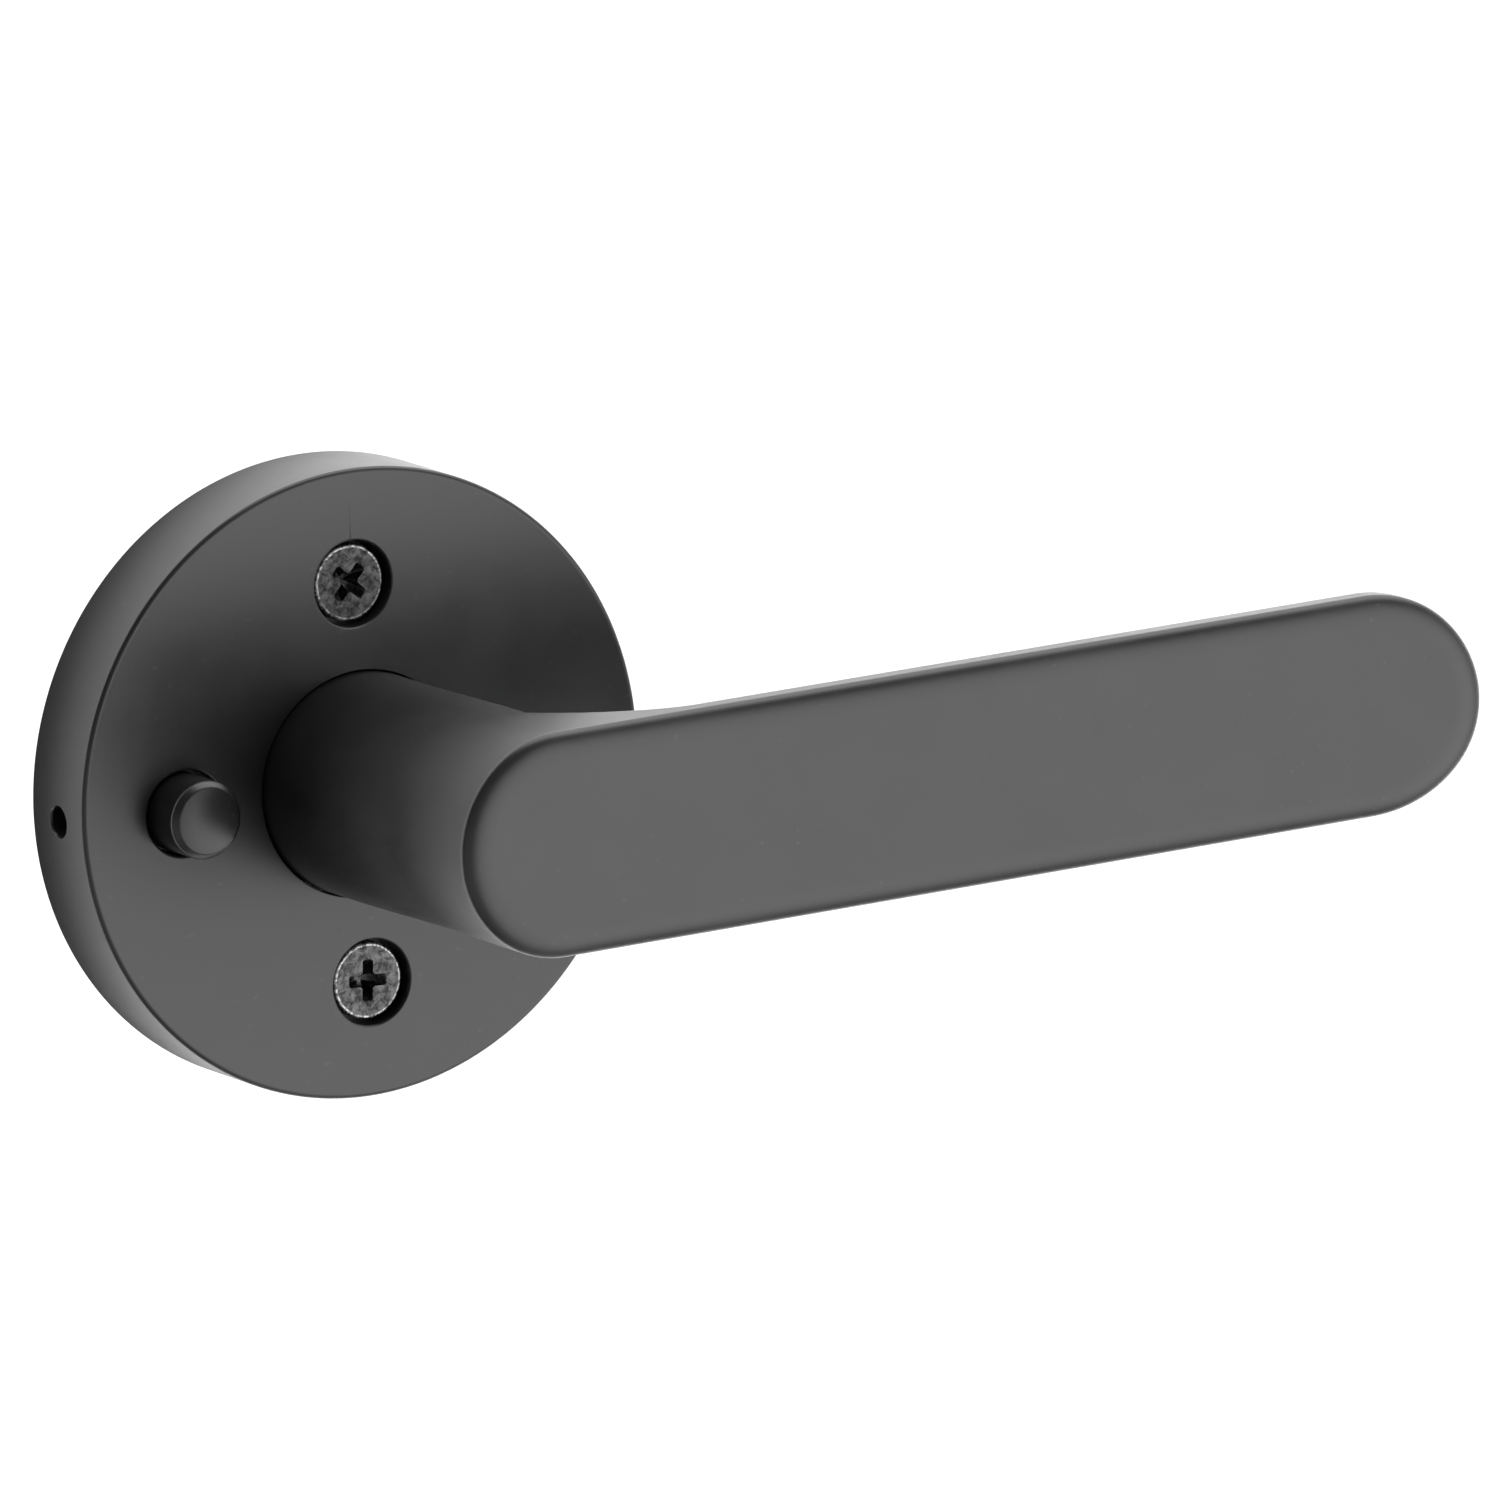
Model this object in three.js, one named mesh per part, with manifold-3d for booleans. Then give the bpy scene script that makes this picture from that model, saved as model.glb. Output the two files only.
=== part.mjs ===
// Lever handle for an interior door: the room-side half of a privacy lock set.
// A round rose carries the lever in a nylon bush. A square spindle and two through
// bolts reach into the door, a sprung drive hub brings the lever back to level, and
// a push pin beside the neck works the privacy lock.
//
// Millimetres. The origin is where the lever's turning axis meets the door's face.
// +X runs along the lever to its tip, +Z is up, and -Y points out of the door to the
// hand. A depth is measured outwards from the door's face, so depth d lies at y = -d
// and a negative depth is inside the door.
import * as THREE from "three";
import { mergeVertices, toCreasedNormals } from "three/addons/utils/BufferGeometryUtils.js";
import Module from "manifold-3d";

const wasm = await Module();
wasm.setup();

// ---- driving dimensions ----
const GAP = 0.3; // clearance between neighbouring pieces
const FINE = 60; // sides of the large round pieces
const ROUND = 28; // sides of the medium round pieces
const SMALL = 14; // sides of pins, screws and their holes
const LEVER_SIDES = 36; // sides of the neck, and twice those of each round end of the lever
const OVER = 1; // how far a cutting tool runs past the surface it cuts
const CREASE = Math.PI / 6; // edges sharper than this are drawn sharp
const TIP = 0.5; // chamfer on the ends of the tail, the stem and the spindle's corners
const QUARTER = Math.PI / 2;

const ROSE_RADIUS = 33.35;
const ROSE_DEPTH = 10.7;
const ROSE_EDGE = 0.5; // radius of the front edge
const WALL = 2.5; // face and rim of the rose
const ROOF = ROSE_DEPTH - WALL; // inner side of the rose's face
const PLATE_BACK = 0.2;
const PLATE_FRONT = 2.2;
const PLATE_INNER = 12.6;
const PLATE_OUTER = ROSE_RADIUS - WALL - 0.45;
const POST_BACK = PLATE_FRONT + GAP; // where the rose's bosses and posts stop
const POST_RADIUS = 3.2;
const BOSS_RADIUS = 6.2;
const MOUTH_GAP = 0.35; // round the neck and the button, where they leave the rose

const NECK_RADIUS = 11.8;
const NECK_SHOULDER = 9; // depth where the neck steps down to the tail
const NECK_TAPER = 15; // depth where the neck begins to narrow to the lever's width
const TAIL_RADIUS = 8.9;
const TAIL_BACK = -0.2;
const PADDLE_RADIUS = 11.75; // half the width, and the round of both ends
const PADDLE_REACH = 100.85; // from the turning axis to the centre of the tip's round
const PADDLE_FACE = 51;
const PADDLE_SIDE = 3.7; // thickness along the edges
const PADDLE_CROWN = 3.1; // extra thickness along the middle of the back
const PADDLE_EDGE = { wide: 2.8, deep: 1.1 }; // the front edge is rounded to part of an ellipse
const NECK_FILLET = 10;

const SPINDLE = 8; // across flats
const SPINDLE_FRONT = 30;
const SPINDLE_BACK = -43;
const SET_SCREW = { radius: 2.2, hole: 2.5, outer: 10.6, depth: 20, socket: 1.44, socketDepth: 2.5 };

const BOLT_OFFSET = 21.2; // bolts above and below the axis, privacy pin beside it
const BOLT = { head: 4.1, height: 2.6, bevel: 0.25, shank: 2, length: 34.8, cross: [4.5, 1.2, 1.8] };
const BOLT_SUNK = 0.9; // top of the head below the rose's face
const COUNTERBORE = 4.6;
const SHANK_GAP = 0.4; // round a bolt's shank
const SHANK_TIP = 0.4; // chamfer on the end of a screw
const UPPER_CROSS_TURN = Math.PI * 0.24;
const LOWER_CROSS_TURN = Math.PI * 0.02;

const PLATE_SCREW = { head: 2.75, height: 1.3, bevel: 0, shank: 1.3, length: 7, cross: [3, 0.7, 0.9] };
const PLATE_SCREW_RADIUS = 26;
const PLATE_SCREW_ANGLES = [0, 112, 248];
const SEAT = { gap: 0.5, sink: 0.15 }; // the countersink beyond the head and below its cone
const CAGE_SCREW = { ...PLATE_SCREW, height: 1.5, bevel: 0.3, length: 4.8 };
const CAGE_SCREW_RADIUS = 19.5;
const CAGE_SCREW_ANGLES = [45, 135, 225, 315];
const EAR_HALF = 3.6; // half the width of the cage's ears

const COLLAR_RADIUS = 14.5; // collar inside the rose
const COLLAR_BACK = 4.6;
const BUSH_SHOULDER = 7.6;
const BUSH_BORE = TAIL_RADIUS + GAP;
const BUSH_OUTER = 10.3;
const BUSH_FLANGE = 0.8; // thickness
const THRUST_WASHER = { inner: 9.2, outer: 13, front: 4.3, back: 3.5 };
const WAVE_WASHER = { inner: 9.2, outer: 12.2, middle: 2.75, thick: 0.3, wave: 0.25, waves: 3 };
const CIRCLIP = { inner: 8.5, outer: 10.6, front: 2, back: 1, gap: 0.3 };
const CIRCLIP_EYE = { radius: 0.6, lug: 1.5, circle: 10.8 };

const CAGE_OUTER = 15.4;
const CAGE_INNER = 14.6;
const CAGE_FRONT = -0.1;
const CAGE_BACK = -10;
const CAGE_SHEET = 1;
const HUB = { flange: 9.8, body: 7.2, front: -0.6, step: -1.8, back: -10.4 };
const LUG_OUTER = 13.6;
const LUG_HALF_ANGLE = THREE.MathUtils.degToRad(14);
const TURN_LIMIT = THREE.MathUtils.degToRad(46.5); // where the lug meets a stop pin
const STOP_RADIUS = 1.3;
const STOP_CIRCLE = 12.2;
const COIL = { radius: 8.7, wire: 0.6, turns: 4, front: -2.8, back: -8, legOut: 16, legIn: 1.8 };
const COIL_STEPS = 12; // per turn, for both springs
const COIL_LEG_ANGLE = THREE.MathUtils.degToRad(300); // the leg held by the cage
const COIL_FREE_ANGLE = THREE.MathUtils.degToRad(320); // the leg held by the drive hub

const BUTTON_RADIUS = 4.15;
const BUTTON_PROUD = 5.7;
const BUTTON_CONE = 0.8; // height of the shallow cone on its end
const BUTTON_EDGE = 0.6;
const BUTTON_BORE = 13; // how far out the stem's bore reaches
const BUTTON_FLANGE = { radius: 5, front: 7.9, back: 7.1 };
const STEM_RADIUS = 1.5;
const STEM_BACK = -17.5;
const GUIDE = { outer: 5.2, inner: 4, front: 2, floor: -5.5, back: -6.5 };
const PIN_COIL = { radius: 3.2, wire: 0.3, turns: 6, front: 6.7, back: -5.1 };
const E_CLIP = { inner: 1.3, outer: 3.2, front: -6.8, back: -7.3, mouth: 2.2 };
const RIM_HOLE = { radius: 1.75, depth: 5.4, boss: 2.9, inner: 26.6 };
const RIM_SCREW = { radius: 1.45, inner: 26.9, outer: 31.2, socket: 0.75, socketDepth: 1.8 };

// ---- shapes ----

// A closed geometry as a solid that can be joined and cut.
function solid(shape) {
  if (!shape.isBufferGeometry) return shape;
  const bare = shape.clone();
  bare.deleteAttribute("normal");
  bare.deleteAttribute("uv");
  const merged = mergeVertices(bare, 1e-4);
  return new wasm.Manifold(
    new wasm.Mesh({
      numProp: 3,
      vertProperties: merged.getAttribute("position").array,
      triVerts: new Uint32Array(merged.index.array),
    }),
  );
}

const join = (...shapes) => shapes.map(solid).reduce((all, next) => all.add(next));
const cut = (body, ...tools) => tools.map(solid).reduce((left, tool) => left.subtract(tool), solid(body));
const overlap = (first, second) => solid(first).intersect(solid(second));

// A solid as a geometry that can be drawn, smooth except at real edges.
function drawable(shape) {
  const { vertProperties, triVerts } = solid(shape).getMesh();
  const geometry = new THREE.BufferGeometry();
  geometry.setAttribute("position", new THREE.BufferAttribute(vertProperties, 3));
  geometry.setIndex(new THREE.BufferAttribute(triVerts, 1));
  return toCreasedNormals(geometry, CREASE);
}

// A round piece about the turning axis. Its outline lists [radius, depth] from the
// front, round the outside, to the back.
function turned(outline, sides = ROUND) {
  return new THREE.LatheGeometry(
    outline.map(([radius, depth]) => new THREE.Vector2(radius, -depth)),
    sides,
  );
}

const rod = (radius, front, back, sides = SMALL) =>
  turned([[0, front], [radius, front], [radius, back], [0, back]], sides);

const ring = (inner, outer, front, back, sides = ROUND) =>
  turned([[inner, front], [outer, front], [outer, back], [inner, back], [inner, front]], sides);

// Points [radius, depth] along an arc, angles in quarter turns: 1 faces the hand, 0 outwards.
function bend(radius, depth, size, from, to, steps) {
  return Array.from({ length: steps + 1 }, (_, i) => {
    const angle = QUARTER * (from + ((to - from) * i) / steps);
    return [radius + size * Math.cos(angle), depth + size * Math.sin(angle)];
  });
}

// An outline in x and z, extruded between two depths.
function prism(outline, front, back, options = {}) {
  const geometry = new THREE.ExtrudeGeometry(outline, {
    depth: front - back,
    bevelEnabled: false,
    curveSegments: 12,
    ...options,
  });
  return geometry.translate(0, 0, back).rotateX(QUARTER);
}

// A block centred on x and z, between two depths.
const block = (width, height, front, back) =>
  new THREE.BoxGeometry(width, front - back, height).translate(0, -(front + back) / 2, 0);

// A rod that lies along x, or along z, between two distances from the axis.
const rodAlongX = (radius, from, to, depth, sides = SMALL) =>
  new THREE.CylinderGeometry(radius, radius, Math.abs(to - from), sides)
    .rotateZ(QUARTER)
    .translate((from + to) / 2, -depth, 0);
const rodAlongZ = (radius, from, to, depth, sides = SMALL) =>
  new THREE.CylinderGeometry(radius, radius, Math.abs(to - from), sides)
    .rotateX(QUARTER)
    .translate(0, -depth, (from + to) / 2);

// Where a piece sits on a circle about the axis, its angle counted from +X towards +Z.
const onCircle = (radius, angle) => [radius * Math.cos(angle), radius * Math.sin(angle)];
const moved = (geometry, [x, z]) => geometry.translate(x, 0, z);
const radians = (degrees) => THREE.MathUtils.degToRad(degrees);

// A round wire through a list of points.
function wire(points, radius, steps) {
  const section = new THREE.Shape().absarc(0, 0, radius, 0, 2 * Math.PI);
  return new THREE.ExtrudeGeometry(section, {
    extrudePath: new THREE.CatmullRomCurve3(points),
    steps,
    curveSegments: 3,
  });
}

// Points on a helix about the turning axis, from one depth to another.
function helix(radius, turns, from, to, startAngle, stepsPerTurn) {
  const count = Math.round(turns * stepsPerTurn);
  return Array.from({ length: count + 1 }, (_, i) => {
    const [x, z] = onCircle(radius, startAngle + (2 * Math.PI * turns * i) / count);
    return new THREE.Vector3(x, -(from + ((to - from) * i) / count), z);
  });
}

// The lever's outline: straight sides and two round ends of one radius.
function paddleOutline() {
  const outline = new THREE.Shape();
  outline.absarc(0, 0, PADDLE_RADIUS, QUARTER, 3 * QUARTER);
  outline.absarc(PADDLE_REACH, 0, PADDLE_RADIUS, -QUARTER, QUARTER);
  return outline;
}

// A cross-drive screw. The top of its head is at depth 0 and its shank runs inwards.
function screw({ head, height, bevel, shank, length, cross }, countersunk = false) {
  const [span, width, deep] = cross;
  const flank = countersunk ? [[head, 0]] : [[head - bevel, 0], [head, -bevel], [head, -height]];
  const outline = [
    [0, 0],
    ...flank,
    [shank, -height],
    [shank, SHANK_TIP - length],
    [shank - SHANK_TIP, -length],
    [0, -length],
  ];
  return cut(
    turned(outline, SMALL),
    block(span, width, OVER, -deep),
    block(width, span, OVER, -deep),
  );
}

// ---- pieces of the rose ----

function rose() {
  const inner = ROSE_RADIUS - WALL;
  const mouth = NECK_RADIUS + MOUTH_GAP;
  const collarBore = BUSH_OUTER + GAP;
  const shell = turned(
    [
      [mouth, ROSE_DEPTH],
      ...bend(ROSE_RADIUS - ROSE_EDGE, ROSE_DEPTH - ROSE_EDGE, ROSE_EDGE, 1, 0, 4),
      [ROSE_RADIUS, 0],
      [inner, 0],
      [inner, ROOF],
      [COLLAR_RADIUS, ROOF],
      [COLLAR_RADIUS, COLLAR_BACK],
      [collarBore, COLLAR_BACK],
      [collarBore, BUSH_SHOULDER],
      [mouth, BUSH_SHOULDER],
      [mouth, ROSE_DEPTH],
    ],
    FINE,
  );
  const boltPlaces = [[0, BOLT_OFFSET], [0, -BOLT_OFFSET]];
  const postPlaces = PLATE_SCREW_ANGLES.map((angle) => onCircle(PLATE_SCREW_RADIUS, radians(angle)));
  const bosses = boltPlaces.map((place) => moved(rod(BOSS_RADIUS, ROOF + OVER, POST_BACK, ROUND), place));
  const posts = postPlaces.map((place) => moved(rod(POST_RADIUS, ROOF + OVER, POST_BACK), place));
  const rimBoss = rodAlongX(RIM_HOLE.boss, -RIM_HOLE.inner, -inner - OVER, RIM_HOLE.depth);

  const headFloor = ROSE_DEPTH - BOLT_SUNK - BOLT.height - GAP;
  const boltHoles = boltPlaces.flatMap((place) => [
    moved(rod(COUNTERBORE, ROSE_DEPTH + OVER, headFloor, ROUND), place),
    moved(rod(BOLT.shank + SHANK_GAP, ROSE_DEPTH, POST_BACK - OVER), place),
  ]);
  const postHoles = postPlaces.map((place) =>
    moved(rod(PLATE_SCREW.shank + GAP, ROOF, POST_BACK - OVER), place),
  );
  const buttonHole = rod(BUTTON_RADIUS + MOUTH_GAP, ROSE_DEPTH + OVER, ROOF - OVER);
  const rimHole = rodAlongX(RIM_HOLE.radius, -RIM_HOLE.inner + OVER, -ROSE_RADIUS - OVER, RIM_HOLE.depth);
  const holes = [...boltHoles, ...postHoles, moved(buttonHole, [-BOLT_OFFSET, 0]), rimHole];
  return cut(join(shell, ...bosses, ...posts, rimBoss), ...holes);
}

function mountingPlate() {
  const plate = ring(PLATE_INNER, PLATE_OUTER, PLATE_FRONT, PLATE_BACK, FINE);
  const through = (radius, place) => moved(rod(radius, PLATE_FRONT + OVER, PLATE_BACK - OVER), place);
  const boltHoles = [1, -1].map((side) => through(BOLT.shank + SHANK_GAP, [0, side * BOLT_OFFSET]));
  const guideHole = through(GUIDE.outer + GAP, [-BOLT_OFFSET, 0]);
  const cageHoles = CAGE_SCREW_ANGLES.map((angle) =>
    through(CAGE_SCREW.shank + GAP, onCircle(CAGE_SCREW_RADIUS, radians(angle))),
  );
  const shank = PLATE_SCREW.shank + GAP;
  const mouth = PLATE_SCREW.head + SEAT.gap;
  const seats = PLATE_SCREW_ANGLES.map((angle) =>
    moved(
      turned(
        [
          [0, PLATE_FRONT + OVER],
          [shank, PLATE_FRONT + OVER],
          [shank, PLATE_BACK + PLATE_SCREW.height + SEAT.sink],
          [mouth, PLATE_BACK],
          [mouth, PLATE_BACK - OVER],
          [0, PLATE_BACK - OVER],
        ],
        SMALL,
      ),
      onCircle(PLATE_SCREW_RADIUS, radians(angle)),
    ),
  );
  return cut(plate, ...boltHoles, guideHole, ...cageHoles, ...seats);
}

function neckBush() {
  const seat = BUSH_SHOULDER + GAP;
  const outline = [
    [BUSH_BORE, seat + BUSH_FLANGE],
    [NECK_RADIUS, seat + BUSH_FLANGE],
    [NECK_RADIUS, seat],
    [BUSH_OUTER, seat],
    [BUSH_OUTER, COLLAR_BACK],
    [BUSH_BORE, COLLAR_BACK],
    [BUSH_BORE, seat + BUSH_FLANGE],
  ];
  return turned(outline, LEVER_SIDES);
}

const thrustWasher = () =>
  ring(THRUST_WASHER.inner, THRUST_WASHER.outer, THRUST_WASHER.front, THRUST_WASHER.back, LEVER_SIDES);

// A flat ring whose depth rises and falls as a sine round the circle.
function waveWasher() {
  const { inner, outer, middle, thick, wave, waves } = WAVE_WASHER;
  const geometry = ring(inner, outer, middle + thick / 2, middle - thick / 2, LEVER_SIDES);
  const position = geometry.getAttribute("position");
  for (let i = 0; i < position.count; i++) {
    const angle = Math.atan2(position.getZ(i), position.getX(i));
    position.setY(i, position.getY(i) + wave * Math.sin(waves * angle));
  }
  return geometry;
}

function springCage() {
  const bore = HUB.body + MOUTH_GAP;
  const cup = turned(
    [
      [CAGE_INNER, CAGE_FRONT],
      [CAGE_OUTER, CAGE_FRONT],
      [CAGE_OUTER, CAGE_BACK],
      [bore, CAGE_BACK],
      [bore, CAGE_BACK + CAGE_SHEET],
      [CAGE_INNER, CAGE_BACK + CAGE_SHEET],
      [CAGE_INNER, CAGE_FRONT],
    ],
    LEVER_SIDES,
  );
  const root = CAGE_INNER + GAP / 2;
  const ear = new THREE.Shape();
  ear.moveTo(root, -EAR_HALF);
  ear.absarc(CAGE_SCREW_RADIUS, 0, EAR_HALF, -QUARTER, QUARTER);
  ear.lineTo(root, EAR_HALF);
  ear.holes.push(new THREE.Path().absarc(CAGE_SCREW_RADIUS, 0, CAGE_SCREW.shank + GAP, 0, 2 * Math.PI));
  const ears = CAGE_SCREW_ANGLES.map((angle) =>
    prism(ear, CAGE_FRONT, CAGE_FRONT - CAGE_SHEET, { curveSegments: 4 }).rotateY(-radians(angle)),
  );
  const slotHalf = COIL.wire + GAP;
  const legSlot = block(CAGE_OUTER, 2 * slotHalf, COIL.back + slotHalf, COIL.back - slotHalf)
    .translate(CAGE_OUTER, 0, 0)
    .rotateY(-COIL_LEG_ANGLE);
  const stopHoles = stopPlaces().map((place) =>
    moved(rod(STOP_RADIUS + GAP, CAGE_BACK + CAGE_SHEET + GAP, CAGE_BACK - OVER), place),
  );
  return cut(join(cup, ...ears), legSlot, ...stopHoles);
}

// The stop pins stand either side of the drive hub's lug, which points straight up.
function stopPlaces() {
  const pinHalfAngle = Math.asin(STOP_RADIUS / STOP_CIRCLE);
  const swing = TURN_LIMIT + LUG_HALF_ANGLE + pinHalfAngle;
  return [QUARTER + swing, QUARTER - swing].map((angle) => onCircle(STOP_CIRCLE, angle));
}

const stopPin = () => rod(STOP_RADIUS, HUB.front, CAGE_BACK);

// One leg is held in the cage's slot, the other in the drive hub's flange.
function returnSpring() {
  const { radius, wire: wireRadius, turns, front, back, legOut, legIn } = COIL;
  const point = (distance, angle, depth) => {
    const [x, z] = onCircle(distance, angle);
    return new THREE.Vector3(x, -depth, z);
  };
  // the outer leg runs in to the coil and bends into its first turn
  const bendStart = point(radius + 4 * wireRadius, COIL_LEG_ANGLE + radians(2), back);
  const bendEnd = point(radius + wireRadius, COIL_LEG_ANGLE + radians(8), back);
  const points = [
    point(legOut, COIL_LEG_ANGLE, back),
    bendStart,
    bendEnd,
    ...helix(radius, turns, back, front, COIL_FREE_ANGLE, COIL_STEPS),
    point(radius, COIL_FREE_ANGLE, front + legIn / 2),
    point(radius, COIL_FREE_ANGLE, front + legIn),
  ];
  return wire(points, wireRadius, (turns + 1) * COIL_STEPS);
}

function pinGuide() {
  const { outer, inner, front, floor, back } = GUIDE;
  return turned([
    [inner, front],
    [outer, front],
    [outer, back],
    [STEM_RADIUS + GAP, back],
    [STEM_RADIUS + GAP, floor],
    [inner, floor],
    [inner, front],
  ], ROUND);
}

function pinSpring() {
  const { radius, wire: wireRadius, turns, front, back } = PIN_COIL;
  const points = helix(radius, turns, back + wireRadius, front - wireRadius, 0, COIL_STEPS);
  return wire(points, wireRadius, turns * COIL_STEPS);
}

function rimGrubScrew() {
  const { radius, inner, outer, socket, socketDepth } = RIM_SCREW;
  return cut(
    rodAlongX(radius, -inner, -outer, RIM_HOLE.depth),
    rodAlongX(socket, -outer - OVER, socketDepth - outer, RIM_HOLE.depth, 6),
  );
}

// ---- pieces that turn with the lever ----

function lever() {
  const crownBack = PADDLE_FACE - PADDLE_SIDE; // depth of the back along the edges
  const neck = turned(
    [
      [0, crownBack],
      [PADDLE_RADIUS, crownBack],
      [NECK_RADIUS, NECK_TAPER],
      [NECK_RADIUS, NECK_SHOULDER],
      [TAIL_RADIUS, NECK_SHOULDER],
      [TAIL_RADIUS, CIRCLIP.front + GAP],
      [CIRCLIP.inner - GAP, CIRCLIP.front + GAP],
      [CIRCLIP.inner - GAP, CIRCLIP.back - GAP],
      [TAIL_RADIUS, CIRCLIP.back - GAP],
      [TAIL_RADIUS, TAIL_BACK + TIP],
      [TAIL_RADIUS - TIP, TAIL_BACK],
      [0, TAIL_BACK],
    ],
    LEVER_SIDES,
  );
  const curveSegments = LEVER_SIDES / 4;
  const flareRadius = PADDLE_RADIUS + NECK_FILLET;
  const flare = turned(
    [
      [0, crownBack],
      ...bend(flareRadius, crownBack - NECK_FILLET, NECK_FILLET, 1, 2, 7),
      [0, crownBack - NECK_FILLET],
    ],
    LEVER_SIDES,
  );
  const through = prism(paddleOutline(), PADDLE_FACE, NECK_SHOULDER, { curveSegments });
  const bar = prism(paddleOutline(), PADDLE_FACE - PADDLE_EDGE.deep, crownBack - 2 * PADDLE_CROWN, {
    curveSegments,
    bevelEnabled: true,
    bevelThickness: PADDLE_EDGE.deep,
    bevelSize: PADDLE_EDGE.wide,
    bevelOffset: -PADDLE_EDGE.wide,
    bevelSegments: 4,
  });
  const socket = block(SPINDLE + 2 * GAP, SPINDLE + 2 * GAP, SPINDLE_FRONT + GAP, TAIL_BACK - OVER);
  const screwHole = rodAlongZ(SET_SCREW.hole, 0, -NECK_RADIUS - OVER, SET_SCREW.depth);
  return cut(join(neck, overlap(flare, through), overlap(bar, crownedBar())), socket, screwHole);
}

// A bar along x with a flat front and a back that is fullest along its middle.
function crownedBar() {
  const wider = 1.1; // the section runs past the lever's sides, which trim it
  const half = PADDLE_RADIUS * wider;
  const edge = PADDLE_FACE - PADDLE_SIDE + PADDLE_CROWN * (wider ** 2 - 1);
  const middle = PADDLE_FACE - PADDLE_SIDE - PADDLE_CROWN;
  const section = new THREE.Shape();
  section.moveTo(-half, PADDLE_FACE + OVER);
  section.lineTo(-half, edge);
  section.quadraticCurveTo(0, 2 * middle - edge, half, edge);
  section.lineTo(half, PADDLE_FACE + OVER);
  const length = PADDLE_REACH + 2 * (PADDLE_RADIUS + OVER);
  const along = new THREE.Matrix4().makeBasis(
    new THREE.Vector3(0, 0, 1),
    new THREE.Vector3(0, -1, 0),
    new THREE.Vector3(1, 0, 0),
  );
  return new THREE.ExtrudeGeometry(section, { depth: length, bevelEnabled: false, curveSegments: 6 })
    .applyMatrix4(along)
    .translate(-PADDLE_RADIUS - OVER, 0, 0);
}

function leverSetScrew() {
  const { radius, outer, depth, socket, socketDepth } = SET_SCREW;
  return cut(
    rodAlongZ(radius, -SPINDLE / 2 - GAP, -outer, depth),
    rodAlongZ(socket, -outer - OVER, socketDepth - outer, depth, 6),
  );
}

// An open ring with an eyelet on each end, for the pliers that spread it.
function circlip() {
  const { inner, outer, front, back, gap } = CIRCLIP;
  const { radius: eye, lug, circle } = CIRCLIP_EYE;
  const from = gap - QUARTER;
  const to = -gap - QUARTER + 2 * Math.PI;
  const band = new THREE.Shape();
  band.absarc(0, 0, outer, from, to);
  band.absarc(0, 0, inner, to, from, true);
  const places = [from, to].map((angle) => onCircle(circle, angle));
  return cut(
    join(
      prism(band, front, back, { curveSegments: 16 }),
      ...places.map((place) => moved(rod(lug, front, back), place)),
    ),
    ...places.map((place) => moved(rod(eye, front + OVER, back - OVER, 10), place)),
  );
}

// The return spring's driver: a flange with a stop lug, and a square bore.
function driveHub() {
  const { flange, body, front, step, back } = HUB;
  const lug = new THREE.Shape();
  lug.absarc(0, 0, LUG_OUTER, QUARTER - LUG_HALF_ANGLE, QUARTER + LUG_HALF_ANGLE);
  lug.absarc(0, 0, flange - 1, QUARTER + LUG_HALF_ANGLE, QUARTER - LUG_HALF_ANGLE, true);
  const spool = turned(
    [[0, front], [flange, front], [flange, step], [body, step], [body, back], [0, back]],
    LEVER_SIDES,
  );
  const bore = block(SPINDLE + 2 * GAP, SPINDLE + 2 * GAP, front + OVER, back - OVER);
  const notchWidth = 2 * (COIL.wire + 2 * GAP);
  const legNotch = block(flange, notchWidth, front + OVER, step - OVER)
    .translate(body + GAP + flange / 2, 0, 0)
    .rotateY(-COIL_FREE_ANGLE);
  return cut(join(spool, prism(lug, front, step)), bore, legNotch);
}

function spindle() {
  const half = SPINDLE / 2;
  const outline = new THREE.Shape();
  outline.moveTo(half, TIP - half);
  for (let side = 0; side < 4; side++) {
    const turn = (x, z) => [
      x * Math.cos(side * QUARTER) - z * Math.sin(side * QUARTER),
      x * Math.sin(side * QUARTER) + z * Math.cos(side * QUARTER),
    ];
    outline.lineTo(...turn(half, half - TIP));
    outline.lineTo(...turn(half - TIP, half));
  }
  return prism(outline, SPINDLE_FRONT, SPINDLE_BACK);
}

// ---- pieces that slide with the privacy pin ----

function privacyButton() {
  const front = ROSE_DEPTH + BUTTON_PROUD;
  const { radius, front: flangeFront, back } = BUTTON_FLANGE;
  const body = turned(
    [
      [0, front],
      [BUTTON_RADIUS - BUTTON_EDGE, front - BUTTON_CONE],
      [BUTTON_RADIUS, front - BUTTON_CONE - BUTTON_EDGE],
      [BUTTON_RADIUS, flangeFront],
      [radius, flangeFront],
      [radius, back],
      [0, back],
    ],
    ROUND,
  );
  return cut(body, rod(STEM_RADIUS + GAP, BUTTON_BORE, back - OVER));
}

function privacyStem() {
  const front = BUTTON_BORE - GAP;
  const groove = E_CLIP.inner - GAP;
  return turned(
    [
      [0, front],
      [STEM_RADIUS, front],
      [STEM_RADIUS, E_CLIP.front + GAP],
      [groove, E_CLIP.front + GAP],
      [groove, E_CLIP.back - GAP],
      [STEM_RADIUS, E_CLIP.back - GAP],
      [STEM_RADIUS, STEM_BACK + TIP],
      [STEM_RADIUS - TIP, STEM_BACK],
      [0, STEM_BACK],
    ],
    SMALL,
  );
}

function pinEClip() {
  const { inner, outer, front, back, mouth } = E_CLIP;
  const reach = outer + OVER;
  const opening = block(mouth, reach, front + OVER, back - OVER).translate(0, 0, reach / 2);
  return cut(ring(inner, outer, front, back), opening);
}

// ---- the assembly ----

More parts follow.
